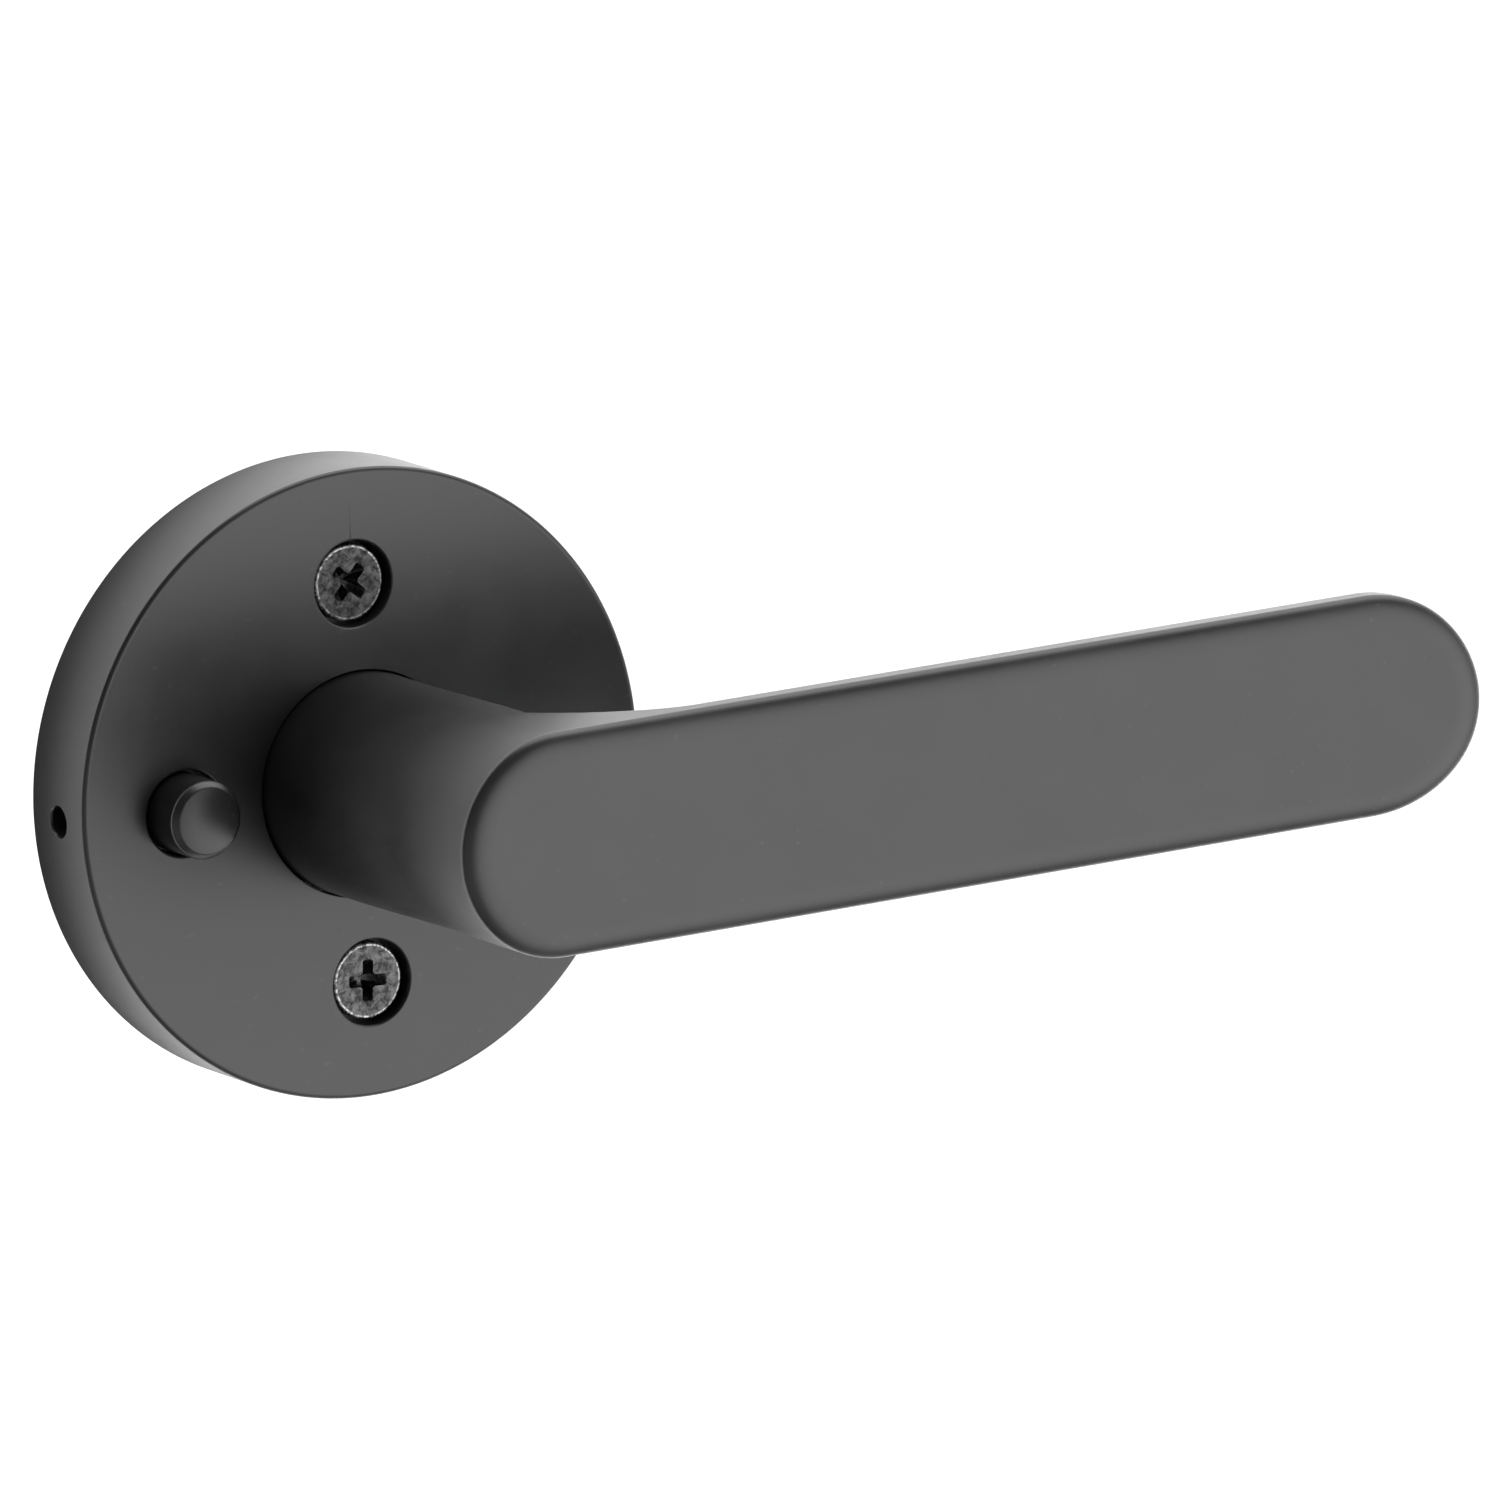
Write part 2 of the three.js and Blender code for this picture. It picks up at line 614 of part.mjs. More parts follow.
const finish = (color, roughness, metalness) =>
  new THREE.MeshStandardMaterial({ color, roughness, metalness });
const blackPaint = finish(0x2b2b2c, 0.45, 0.1);
const darkSteel = finish(0x5a5a5c, 0.4, 0.8);
const zincPlate = finish(0x9a9b9c, 0.38, 0.9);
const springSteel = finish(0x6e6a63, 0.3, 0.95);
const nylon = finish(0xcfcabd, 0.6, 0);

// Adds one named piece to a body, at a depth, a place across the door and a turn.
function add(body, name, shape, material, where = {}) {
  const { depth = 0, across = [0, 0], turn = 0, reversed = false } = where;
  const mesh = new THREE.Mesh(drawable(shape), material);
  mesh.name = name;
  mesh.position.set(across[0], -depth, across[1]);
  mesh.rotation.set(reversed ? Math.PI : 0, turn, 0);
  body.add(mesh);
}

const roseAssembly = new THREE.Group();
add(roseAssembly, "rose", rose(), blackPaint);
add(roseAssembly, "mounting_plate", mountingPlate(), zincPlate);
add(roseAssembly, "neck_bush", neckBush(), nylon);
add(roseAssembly, "thrust_washer", thrustWasher(), zincPlate);
add(roseAssembly, "wave_washer", waveWasher(), springSteel);
add(roseAssembly, "spring_cage", springCage(), zincPlate);
add(roseAssembly, "return_spring", returnSpring(), springSteel);
stopPlaces().forEach((across, i) =>
  add(roseAssembly, ["stop_pin_left", "stop_pin_right"][i], stopPin(), zincPlate, { across }),
);
PLATE_SCREW_ANGLES.forEach((angle, i) =>
  add(roseAssembly, `plate_screw_${i + 1}`, screw(PLATE_SCREW, true), zincPlate, {
    depth: PLATE_BACK,
    across: onCircle(PLATE_SCREW_RADIUS, radians(angle)),
    reversed: true,
  }),
);
CAGE_SCREW_ANGLES.forEach((angle, i) =>
  add(roseAssembly, `cage_screw_${i + 1}`, screw(CAGE_SCREW), zincPlate, {
    depth: CAGE_FRONT - CAGE_SHEET - GAP - CAGE_SCREW.height,
    across: onCircle(CAGE_SCREW_RADIUS, radians(angle)),
    reversed: true,
  }),
);
add(roseAssembly, "upper_mounting_screw", screw(BOLT), darkSteel, {
  depth: ROSE_DEPTH - BOLT_SUNK,
  across: [0, BOLT_OFFSET],
  turn: UPPER_CROSS_TURN,
});
add(roseAssembly, "lower_mounting_screw", screw(BOLT), darkSteel, {
  depth: ROSE_DEPTH - BOLT_SUNK,
  across: [0, -BOLT_OFFSET],
  turn: LOWER_CROSS_TURN,
});
add(roseAssembly, "rim_grub_screw", rimGrubScrew(), darkSteel);
const pinAcross = [-BOLT_OFFSET, 0];
add(roseAssembly, "pin_guide", pinGuide(), nylon, { across: pinAcross });
add(roseAssembly, "pin_spring", pinSpring(), springSteel, { across: pinAcross });

const leverAssembly = new THREE.Group();
add(leverAssembly, "lever", lever(), blackPaint);
add(leverAssembly, "lever_set_screw", leverSetScrew(), darkSteel);
add(leverAssembly, "circlip", circlip(), springSteel);
add(leverAssembly, "drive_hub", driveHub(), zincPlate);
add(leverAssembly, "spindle", spindle(), zincPlate);

const privacyPin = new THREE.Group();
privacyPin.position.set(-BOLT_OFFSET, 0, 0);
add(privacyPin, "privacy_button", privacyButton(), blackPaint);
add(privacyPin, "privacy_stem", privacyStem(), zincPlate);
add(privacyPin, "pin_e_clip", pinEClip(), springSteel);

const leverHandle = new THREE.Group();
leverHandle.add(roseAssembly, leverAssembly, privacyPin);

export default leverHandle;
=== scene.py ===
"""Looks of the door lever handle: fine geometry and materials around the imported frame.

Lengths in this script are millimetres unless a name says otherwise. A depth is counted
outwards from the door's face, so depth d lies at y = -d. A mesh is turned into metres
as it is made.
"""

import math

import bmesh
import bpy
import numpy as np
from mathutils import Matrix, Vector


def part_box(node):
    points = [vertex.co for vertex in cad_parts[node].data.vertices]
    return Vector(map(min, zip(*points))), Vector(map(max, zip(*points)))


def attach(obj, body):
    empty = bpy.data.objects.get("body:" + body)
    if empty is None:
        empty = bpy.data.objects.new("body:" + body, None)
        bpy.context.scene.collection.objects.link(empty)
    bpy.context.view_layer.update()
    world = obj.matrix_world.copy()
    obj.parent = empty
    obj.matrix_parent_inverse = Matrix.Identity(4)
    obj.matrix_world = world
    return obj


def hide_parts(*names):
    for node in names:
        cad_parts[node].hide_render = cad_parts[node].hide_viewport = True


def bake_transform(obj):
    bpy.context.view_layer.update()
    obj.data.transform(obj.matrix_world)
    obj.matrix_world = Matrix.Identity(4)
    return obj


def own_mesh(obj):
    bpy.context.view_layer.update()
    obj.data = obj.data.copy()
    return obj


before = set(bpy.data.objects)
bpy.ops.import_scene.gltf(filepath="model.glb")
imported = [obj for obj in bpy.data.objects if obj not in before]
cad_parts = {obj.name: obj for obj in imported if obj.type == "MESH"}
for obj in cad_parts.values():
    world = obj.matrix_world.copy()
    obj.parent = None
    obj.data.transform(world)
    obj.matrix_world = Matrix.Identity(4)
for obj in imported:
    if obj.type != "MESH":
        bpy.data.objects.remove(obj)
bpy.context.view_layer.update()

MM = 0.001
QUARTER = math.pi / 2


def span(node):
    """A node's lowest and highest corners, in millimetres."""
    low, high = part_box(node)
    return np.array(low) / MM, np.array(high) / MM


# ---- sizes read from the frame ----

ROSE_LOW, ROSE_HIGH = span("rose")
ROSE_RADIUS = ROSE_HIGH[2]
ROSE_DEPTH = -ROSE_LOW[1]
LEVER_LOW, LEVER_HIGH = span("lever")
PADDLE_FACE = -LEVER_LOW[1]
TAIL_BACK = -LEVER_HIGH[1]
SPINDLE_LOW, SPINDLE_HIGH = span("spindle")
BUTTON_LOW, BUTTON_HIGH = span("privacy_button")
BOLT_LOW, BOLT_HIGH = span("upper_mounting_screw")
BOLT_OFFSET = (BOLT_LOW[2] + BOLT_HIGH[2]) / 2
BOLT_LENGTH = BOLT_HIGH[1] - BOLT_LOW[1]
PIN_X = (BUTTON_LOW[0] + BUTTON_HIGH[0]) / 2
STEM_BACK = -span("privacy_stem")[1][1]
PLATE_LOW, PLATE_HIGH = span("mounting_plate")

# ---- sizes of the details ----

NECK_RADIUS = 11.8
PADDLE_RADIUS = 11.82
PADDLE_REACH = LEVER_HIGH[0] + 0.07 - PADDLE_RADIUS
NECK_SHOULDER = 9.0
NECK_TAPER = (15.0, 36.0)  # depths between which the neck narrows to the paddle's width
NECK_FILLET = 10.0
NECK_LEAN = 0.8  # how far the neck's end is moved towards the tip
TIP_LONGER = 2.0  # how much longer than round the tip's end is
TIP_DROP = 0.75  # how far the tip's end droops
TAIL_RADIUS = 8.9
PADDLE_SIDE = 3.7
PADDLE_CROWN = 3.1
PADDLE_EDGE = (3.2, 1.15)  # how far the face's rounding reaches inwards, and how deep
ROSE_EDGE = (0.7, 0.45)
BACK_EDGE = 1.0
SOCKET_DEPTH = 30.3
SOCKET_HALF = 4.3  # half the width of the spindle's square holes
SET_SCREW_DEPTH = 20.0

COUNTERBORE = 4.6
HEAD_FLOOR = 6.9
HEAD_TOP = ROSE_DEPTH - 0.9
MOUTH = NECK_RADIUS + 0.2
POST_BACK = 2.5
RIM_HOLE = (1.6, 5.4)  # radius and depth
PLATE_SCREW_PLACES = [(26.0, math.radians(a)) for a in (0, 112, 248)]
CAGE_SCREW_PLACES = [(19.5, math.radians(a)) for a in (45, 135, 225, 315)]
CAGE_BACK = -10.0
LEG_SLOT, LEG_NOTCH = math.radians(300), math.radians(320)  # where the spring's legs are held
LUG_HALF = math.radians(14)
STOP_PLACE, STOP_PIN = 12.2, 1.3  # the stop pins' distance from the axis, and their radius
STOP_SWING = math.radians(46.5) + LUG_HALF + math.asin(STOP_PIN / STOP_PLACE)

THROUGH_BOLT = dict(head=4.1, height=2.6, shank=2.0, length=BOLT_LENGTH, thread_from=14.0, pitch=0.7,
                    recess=(2.25, 1.2, 1.9), edge=0.32)
PLATE_SCREW = dict(head=2.75, height=1.3, shank=1.3, length=7.0, thread_from=1.9, pitch=0.5,
                   recess=(1.5, 0.7, 0.95), sunk=True)
CAGE_SCREW = dict(head=2.75, height=1.5, shank=1.3, length=4.8, thread_from=1.9, pitch=0.5,
                  recess=(1.5, 0.7, 0.95), edge=0.5)


# ---- meshes ----

def polar(radius, angle):
    """The (x, z) of a point at a radius and an angle about the axis of depth."""
    return radius * math.cos(angle), radius * math.sin(angle)


def around(places):
    """(x, z) of each (radius, angle)."""
    return [polar(radius, angle) for radius, angle in places]


def lathe(profile, sides=128):
    """A body of revolution about the axis of depth. The profile lists (radius, depth);
    a closed one repeats its first point, an open one starts and ends on the axis."""
    closed = np.allclose(profile[0], profile[-1])
    points = list(profile[:-1] if closed else profile)
    verts, rows = [], []
    for radius, depth in points:
        if radius < 1e-9:
            rows.append([len(verts)] * sides)
            verts.append((0.0, -depth, 0.0))
            continue
        rows.append(list(range(len(verts), len(verts) + sides)))
        for i in range(sides):
            angle = 2 * math.pi * i / sides
            verts.append((radius * math.cos(angle), -depth, radius * math.sin(angle)))
    pairs = list(zip(rows, rows[1:] + rows[:1])) if closed else list(zip(rows, rows[1:]))
    return verts, skin(pairs, sides)


def skin(pairs, sides):
    """Quads, or triangles at a pole, between pairs of rings."""
    faces = []
    for first, second in pairs:
        for i in range(sides):
            j = (i + 1) % sides
            face = [first[i], first[j], second[j], second[i]]
            faces.append([v for k, v in enumerate(face) if v not in face[:k]])
    return faces


def rounded(points, steps=5):
    """A profile with its corners rounded: each point is (radius, depth) or
    (radius, depth, fillet). Closed if the last point repeats the first."""
    closed = tuple(points[0][:2]) == tuple(points[-1][:2])
    ring = points[:-1] if closed else points
    out = []
    for i, point in enumerate(ring):
        here = np.array(point[:2], float)
        size = point[2] if len(point) > 2 else 0
        if not size:
            out.append(tuple(here))
            continue
        before = np.array(ring[i - 1][:2], float) - here
        after = np.array(ring[(i + 1) % len(ring)][:2], float) - here
        before /= np.linalg.norm(before)
        after /= np.linalg.norm(after)
        half = math.acos(np.clip(before @ after, -1, 1)) / 2
        middle = (before + after) / np.linalg.norm(before + after)
        centre = here + middle * size / math.sin(half)
        start, end = (here + way * size / math.tan(half) - centre for way in (before, after))
        turn = math.acos(np.clip(start @ end / size**2, -1, 1))
        for k in range(steps + 1):
            t = k / steps
            mix = (math.sin((1 - t) * turn) * start + math.sin(t * turn) * end) / math.sin(turn)
            out.append(tuple(centre + mix))
    if closed:
        out.append(out[0])
    return out


def rod(radius, front, back, sides):
    """A plain cylinder about the axis of depth."""
    return lathe([(0, front), (radius, front), (radius, back), (0, back)], sides)


def square_outline(half):
    return [(-half, -half), (half, -half), (half, half), (-half, half)]


def prism(outline, front, back):
    """An outline of (x, z) points between two depths."""
    verts = [(x, -depth, z) for depth in (front, back) for x, z in outline]
    n = len(outline)
    faces = [list(range(n)), list(range(2 * n - 1, n - 1, -1))]
    faces += [[i, i + n, (i + 1) % n + n, (i + 1) % n] for i in range(n)]
    return verts, faces


def tube(points, radius, sides=14):
    """A round wire along a list of points, its section carried without twist."""
    points = np.array(points, float)
    tangents = np.gradient(points, axis=0)
    tangents /= np.linalg.norm(tangents, axis=1)[:, None]
    normal = np.cross(tangents[0], (0.3, 0.2, 0.93))
    verts, rows = [], []
    for point, tangent in zip(points, tangents):
        normal = normal - tangent * (normal @ tangent)
        normal /= np.linalg.norm(normal)
        side = np.cross(tangent, normal)
        rows.append(list(range(len(verts), len(verts) + sides)))
        for i in range(sides):
            angle = 2 * math.pi * i / sides
            verts.append(tuple(point + radius * (normal * math.cos(angle) + side * math.sin(angle))))
    faces = skin(list(zip(rows, rows[1:])), sides)
    return verts, faces + [rows[0][::-1], rows[-1]]


def moved(shape, x=0.0, depth=0.0, z=0.0, turn=0.0, matrix=None):
    """A shape turned about the axis of depth, or by a matrix, and moved."""
    verts, faces = shape
    turning = matrix or Matrix.Rotation(-turn, 3, "Y")
    shift = Vector((x, -depth, z))
    return [tuple(turning @ Vector(v) + shift) for v in verts], faces


def piece_of(name, shape):
    """A closed mesh, its faces turned outwards, linked to the scene."""
    mesh = bpy.data.meshes.new(name)
    mesh.from_pydata([tuple(np.array(v) * MM) for v in shape[0]], [], shape[1])
    work = bmesh.new()
    work.from_mesh(mesh)
    bmesh.ops.recalc_face_normals(work, faces=work.faces)
    work.to_mesh(mesh)
    work.free()
    piece = bpy.data.objects.new(name, mesh)
    bpy.context.scene.collection.objects.link(piece)
    return piece


def settle(piece):
    """Applies the piece's modifiers to its mesh."""
    bpy.context.view_layer.update()
    graph = bpy.context.evaluated_depsgraph_get()
    mesh = bpy.data.meshes.new_from_object(piece.evaluated_get(graph))
    old = piece.data
    piece.modifiers.clear()
    piece.data = mesh
    bpy.data.meshes.remove(old)
    mesh.name = piece.name


def combine(piece, shapes, operation="DIFFERENCE"):
    """Cuts shapes away from a piece, or joins them to it."""
    tools = [piece_of("tool", shape) for shape in shapes]
    for tool in tools:
        modifier = piece.modifiers.new("combine", "BOOLEAN")
        modifier.operation = operation
        modifier.solver = "EXACT"
        modifier.object = tool
    settle(piece)
    for tool in tools:
        bpy.data.objects.remove(tool)
    return piece


def smooth(piece, angle=32.0):
    """Smooth shading with sharp edges, and flat faces that stay flat beside roundings."""
    piece.data.shade_smooth()
    piece.data.set_sharp_from_angle(angle=math.radians(angle))
    modifier = piece.modifiers.new("normals", "WEIGHTED_NORMAL")
    modifier.keep_sharp = True
    modifier.weight = 60
    settle(piece)
    return piece


def corners_of(mesh):
    """For each face corner: its normal, its place in millimetres and its face's normal."""
    normals = np.array([corner.vector for corner in mesh.corner_normals])
    points = np.array([v.co for v in mesh.vertices]) / MM
    places = points[[loop.vertex_index for loop in mesh.loops]]
    counts = [p.loop_total for p in mesh.polygons]
    facing = np.repeat([tuple(p.normal) for p in mesh.polygons], counts, axis=0)
    return normals, places, facing


def drill(radius, front, back, edge=0.2, edge_back=0.0, sides=64):
    """A cutter for a round hole. Its mouth at depth front is flared, so that the cut
    leaves a rounded edge there, and so is its far mouth if edge_back is given."""
    steps = 5
    arc = [QUARTER * k / steps for k in range(steps + 1)]
    top = [(radius + edge - edge * math.cos(a), front - edge + edge * math.sin(a)) for a in arc]
    profile = [(0, front + 1), (radius + edge, front + 1), *top[::-1]]
    if edge_back:
        profile += [
            (radius + edge_back - edge_back * math.cos(a), back + edge_back - edge_back * math.sin(a))
            for a in arc
        ]
        profile += [(radius + edge_back, back - 1), (0, back - 1)]
    else:
        profile += [(radius, back), (0, back)]
    return lathe(profile, sides)


# ---- materials ----

class Finish:
    """A material under construction, with short calls for the nodes it uses."""

    def __init__(self, name, **shader):
        self.material = bpy.data.materials.new(name)
        self.material.use_nodes = True
        self.tree = self.material.node_tree
        self.shader = self.tree.nodes["Principled BSDF"]
        for socket, value in shader.items():
            self.shader.inputs[socket.replace("_", " ")].default_value = value
        self.place = self.tree.nodes.new("ShaderNodeTexCoord").outputs["Object"]

    def node(self, kind, **settings):
        node = self.tree.nodes.new("ShaderNode" + kind)
        for name, value in settings.items():
            setattr(node, name, value)
        return node

    def link(self, source, target):
        self.tree.links.new(source, target)

    def stretched(self, x, y, z):
        """Object coordinates scaled by x, y and z."""
        mapping = self.node("Mapping")
        mapping.inputs["Scale"].default_value = (x, y, z)
        self.link(self.place, mapping.inputs["Vector"])
        return mapping.outputs["Vector"]

    def noise(self, size, detail=3.0, rough=0.5, place=None, distortion=0.0):
        """Noise with features of about the given size in millimetres."""
        node = self.node("TexNoise")
        node.inputs["Scale"].default_value = 1 / (size * MM)
        node.inputs["Detail"].default_value = detail
        node.inputs["Roughness"].default_value = rough
        node.inputs["Distortion"].default_value = distortion
        self.link(place or self.place, node.inputs["Vector"])
        return node.outputs["Fac"]

    def cells(self, size, place=None):
        node = self.node("TexVoronoi")
        node.inputs["Scale"].default_value = 1 / (size * MM)
        self.link(place or self.place, node.inputs["Vector"])
        return node.outputs["Color"]

    def math(self, operation, first, second=0.5, third=None, clamp=False):
        node = self.node("Math", operation=operation, use_clamp=clamp)
        for socket, value in zip(node.inputs, (first, second, third)):
            if value is None:
                continue
            if hasattr(value, "links"):
                self.link(value, socket)
            else:
                socket.default_value = value
        return node.outputs[0]

    def spread(self, value, low, high, to_low=0.0, to_high=1.0):
        """Maps a value from low..high to to_low..to_high, smoothly at both ends."""
        node = self.node("MapRange", interpolation_type="SMOOTHSTEP")
        for socket, number in zip(list(node.inputs)[1:5], (low, high, to_low, to_high)):
            socket.default_value = number
        self.link(value, node.inputs["Value"])
        return node.outputs["Result"]

    def mix(self, factor, first, second):
        node = self.node("Mix", data_type="RGBA")
        for socket, value in ((node.inputs[0], factor), (node.inputs[6], first), (node.inputs[7], second)):
            if hasattr(value, "links"):
                self.link(value, socket)
            elif isinstance(value, float):
                socket.default_value = value
            else:
                socket.default_value = (*value, 1.0)
        return node.outputs[2]

    def set(self, socket, value):
        self.link(value, self.shader.inputs[socket])

    def bump(self, height, strength, distance):
        """Adds to the surface's bump; the distance is in millimetres."""
        node = self.node("Bump")
        node.inputs["Strength"].default_value = strength
        node.inputs["Distance"].default_value = distance * MM
        self.link(height, node.inputs["Height"])
        old = self.shader.inputs["Normal"].links
        if old:
            self.link(old[0].from_socket, node.inputs["Normal"])
        self.set("Normal", node.outputs["Normal"])

    def own_axis(self):
        """Distance from the piece's own axis, and along it, in millimetres."""
        parts = self.node("SeparateXYZ")
        self.link(self.place, parts.inputs[0])
        x, y, z = parts.outputs
        squares = self.math("ADD", self.math("MULTIPLY", x, x), self.math("MULTIPLY", z, z))
        return self.math("MULTIPLY", self.math("SQRT", squares), 1 / MM), self.math("MULTIPLY", y, 1 / MM)


def black_paint():
    """Satin black coat: fine grain, slow sheen changes, a few dust specks."""
    f = Finish("black_paint", Metallic=0.0)
    cloud = f.noise(9.0, 4.0, 0.6)
    grain = f.noise(0.16, 2.0, 0.6)
    speck = f.spread(f.noise(0.7, 0.0), 0.80, 0.84)
    base = f.mix(f.spread(cloud, 0.3, 0.7), (0.0065, 0.0065, 0.0067), (0.0085, 0.0085, 0.0087))
    f.set("Base Color", f.mix(f.math("MULTIPLY", speck, 0.4), base, (0.03, 0.03, 0.03)))
    rough = f.math("ADD", f.spread(cloud, 0.25, 0.75, 0.265, 0.305), f.math("MULTIPLY", grain, 0.06))
    f.set("Roughness", rough)
    f.shader.inputs["Specular IOR Level"].default_value = 0.62
    f.bump(f.noise(1.4, 2.0), 0.25, 0.02)
    f.bump(grain, 0.35, 0.012)
    return f.material


def steel_with_rim_wear_and_highlight():
    """Dark oxide on a screw, mottled, with a bright ring on the head's rim that is partly rubbed wear and
    partly a painted highlight.
    """
    f = Finish("dark_steel", Metallic=1.0)
    mottle = f.noise(0.9, 5.0, 0.7, distortion=0.6)
    fine = f.noise(0.18, 3.0, 0.6)
    base = f.mix(f.spread(mottle, 0.32, 0.7), (0.022, 0.022, 0.023), (0.14, 0.14, 0.142))
    radius, along = f.own_axis()
    # Bright ring round the head's rounded rim, broken up by noise: partly rubbed wear, partly a painted
    # highlight where the edge catches the light.
    rim = f.math("MULTIPLY", f.spread(radius, 3.62, 3.85), f.spread(radius, 4.3, 4.15))
    rim_wear_and_highlight = f.math("MULTIPLY", rim, f.spread(f.noise(0.45, 3.0), 0.42, 0.56, 0.12, 1.0))
    base = f.mix(rim_wear_and_highlight, base, (0.62, 0.62, 0.63))
    shank = f.mix(f.spread(mottle, 0.2, 0.8), (0.17, 0.17, 0.175), (0.23, 0.23, 0.235))
    f.set("Base Color", f.mix(f.spread(along, 2.5, 2.8), base, shank))
    f.set("Roughness", f.spread(fine, 0.3, 0.7, 0.3, 0.52))
    f.bump(f.math("MULTIPLY", mottle, f.spread(along, 2.8, 2.5)), 0.4, 0.03)
    f.bump(fine, 0.5, 0.012)
    return f.material


def plated_screw():
    """Bright zinc on the small screws, slightly uneven."""
    f = Finish("screw_steel", Metallic=1.0)
    tone = f.noise(0.8, 4.0, 0.6)
    f.set("Base Color", f.mix(f.spread(tone, 0.3, 0.7), (0.42, 0.42, 0.43), (0.62, 0.62, 0.64)))
    f.set("Roughness", f.spread(f.noise(0.3, 3.0), 0.3, 0.7, 0.24, 0.42))
    f.bump(f.noise(0.25, 2.0), 0.3, 0.01)
    return f.material


def zinc_plate():
    """Sheet and turned steel under clear zinc: crystal patches, rolling lines, handling marks."""
    f = Finish("zinc_plate", Metallic=1.0)
    patch = f.node("SeparateColor")
    f.link(f.cells(2.6), patch.inputs[0])
    lines = f.noise(0.35, 3.0, 0.6, place=f.stretched(0.08, 1.0, 1.0))
    tone = f.math("ADD", f.math("MULTIPLY", patch.outputs[0], 0.5), f.math("MULTIPLY", lines, 0.5))
    f.set("Base Color", f.mix(tone, (0.44, 0.45, 0.47), (0.62, 0.63, 0.65)))
    f.set("Roughness", f.spread(tone, 0.1, 0.9, 0.26, 0.44))
    f.bump(lines, 0.3, 0.012)
    scratch = f.noise(0.5, 2.0, 0.5, place=f.stretched(1.0, 1.0, 0.04))
    f.bump(f.spread(scratch, 0.66, 0.7), 0.2, 0.01)
    return f.material


def drawn_bar():
    """Cold-drawn square bar: fine lines along its length under thin zinc."""
    f = Finish("drawn_bar", Metallic=1.0)
    lines = f.noise(0.22, 4.0, 0.6, place=f.stretched(1.0, 0.02, 1.0))
    cloud = f.noise(4.0, 3.0)
    f.set("Base Color", f.mix(f.spread(cloud, 0.3, 0.7), (0.46, 0.46, 0.475), (0.6, 0.6, 0.62)))
    f.set("Roughness", f.spread(lines, 0.3, 0.7, 0.24, 0.42))
    f.bump(lines, 0.5, 0.015)
    return f.material


def spring_steel():
    """Oiled spring wire and strip: dark straw and blue heat tints."""
    f = Finish("spring_steel", Metallic=1.0)
    tint = f.spread(f.noise(3.0, 3.0), 0.3, 0.7)
    f.set("Base Color", f.mix(tint, (0.28, 0.25, 0.2), (0.2, 0.205, 0.23)))
    f.set("Roughness", f.spread(f.noise(0.3, 3.0), 0.3, 0.7, 0.22, 0.4))
    f.bump(f.noise(0.2, 2.0), 0.3, 0.008)
    return f.material


def nylon():
    """Moulded natural nylon, slightly uneven in tone and finely grained."""
    f = Finish("nylon", Subsurface_Weight=0.15)
    f.shader.inputs["Subsurface Radius"].default_value = (0.002, 0.0016, 0.001)
    tone = f.spread(f.noise(5.0, 3.0), 0.3, 0.7)
    f.set("Base Color", f.mix(tone, (0.62, 0.6, 0.53), (0.7, 0.68, 0.61)))
    f.set("Roughness", f.spread(f.noise(0.5, 3.0), 0.3, 0.7, 0.42, 0.58))
    f.bump(f.noise(0.25, 3.0), 0.3, 0.015)
    return f.material


# ---- the rose and what is bolted to it ----

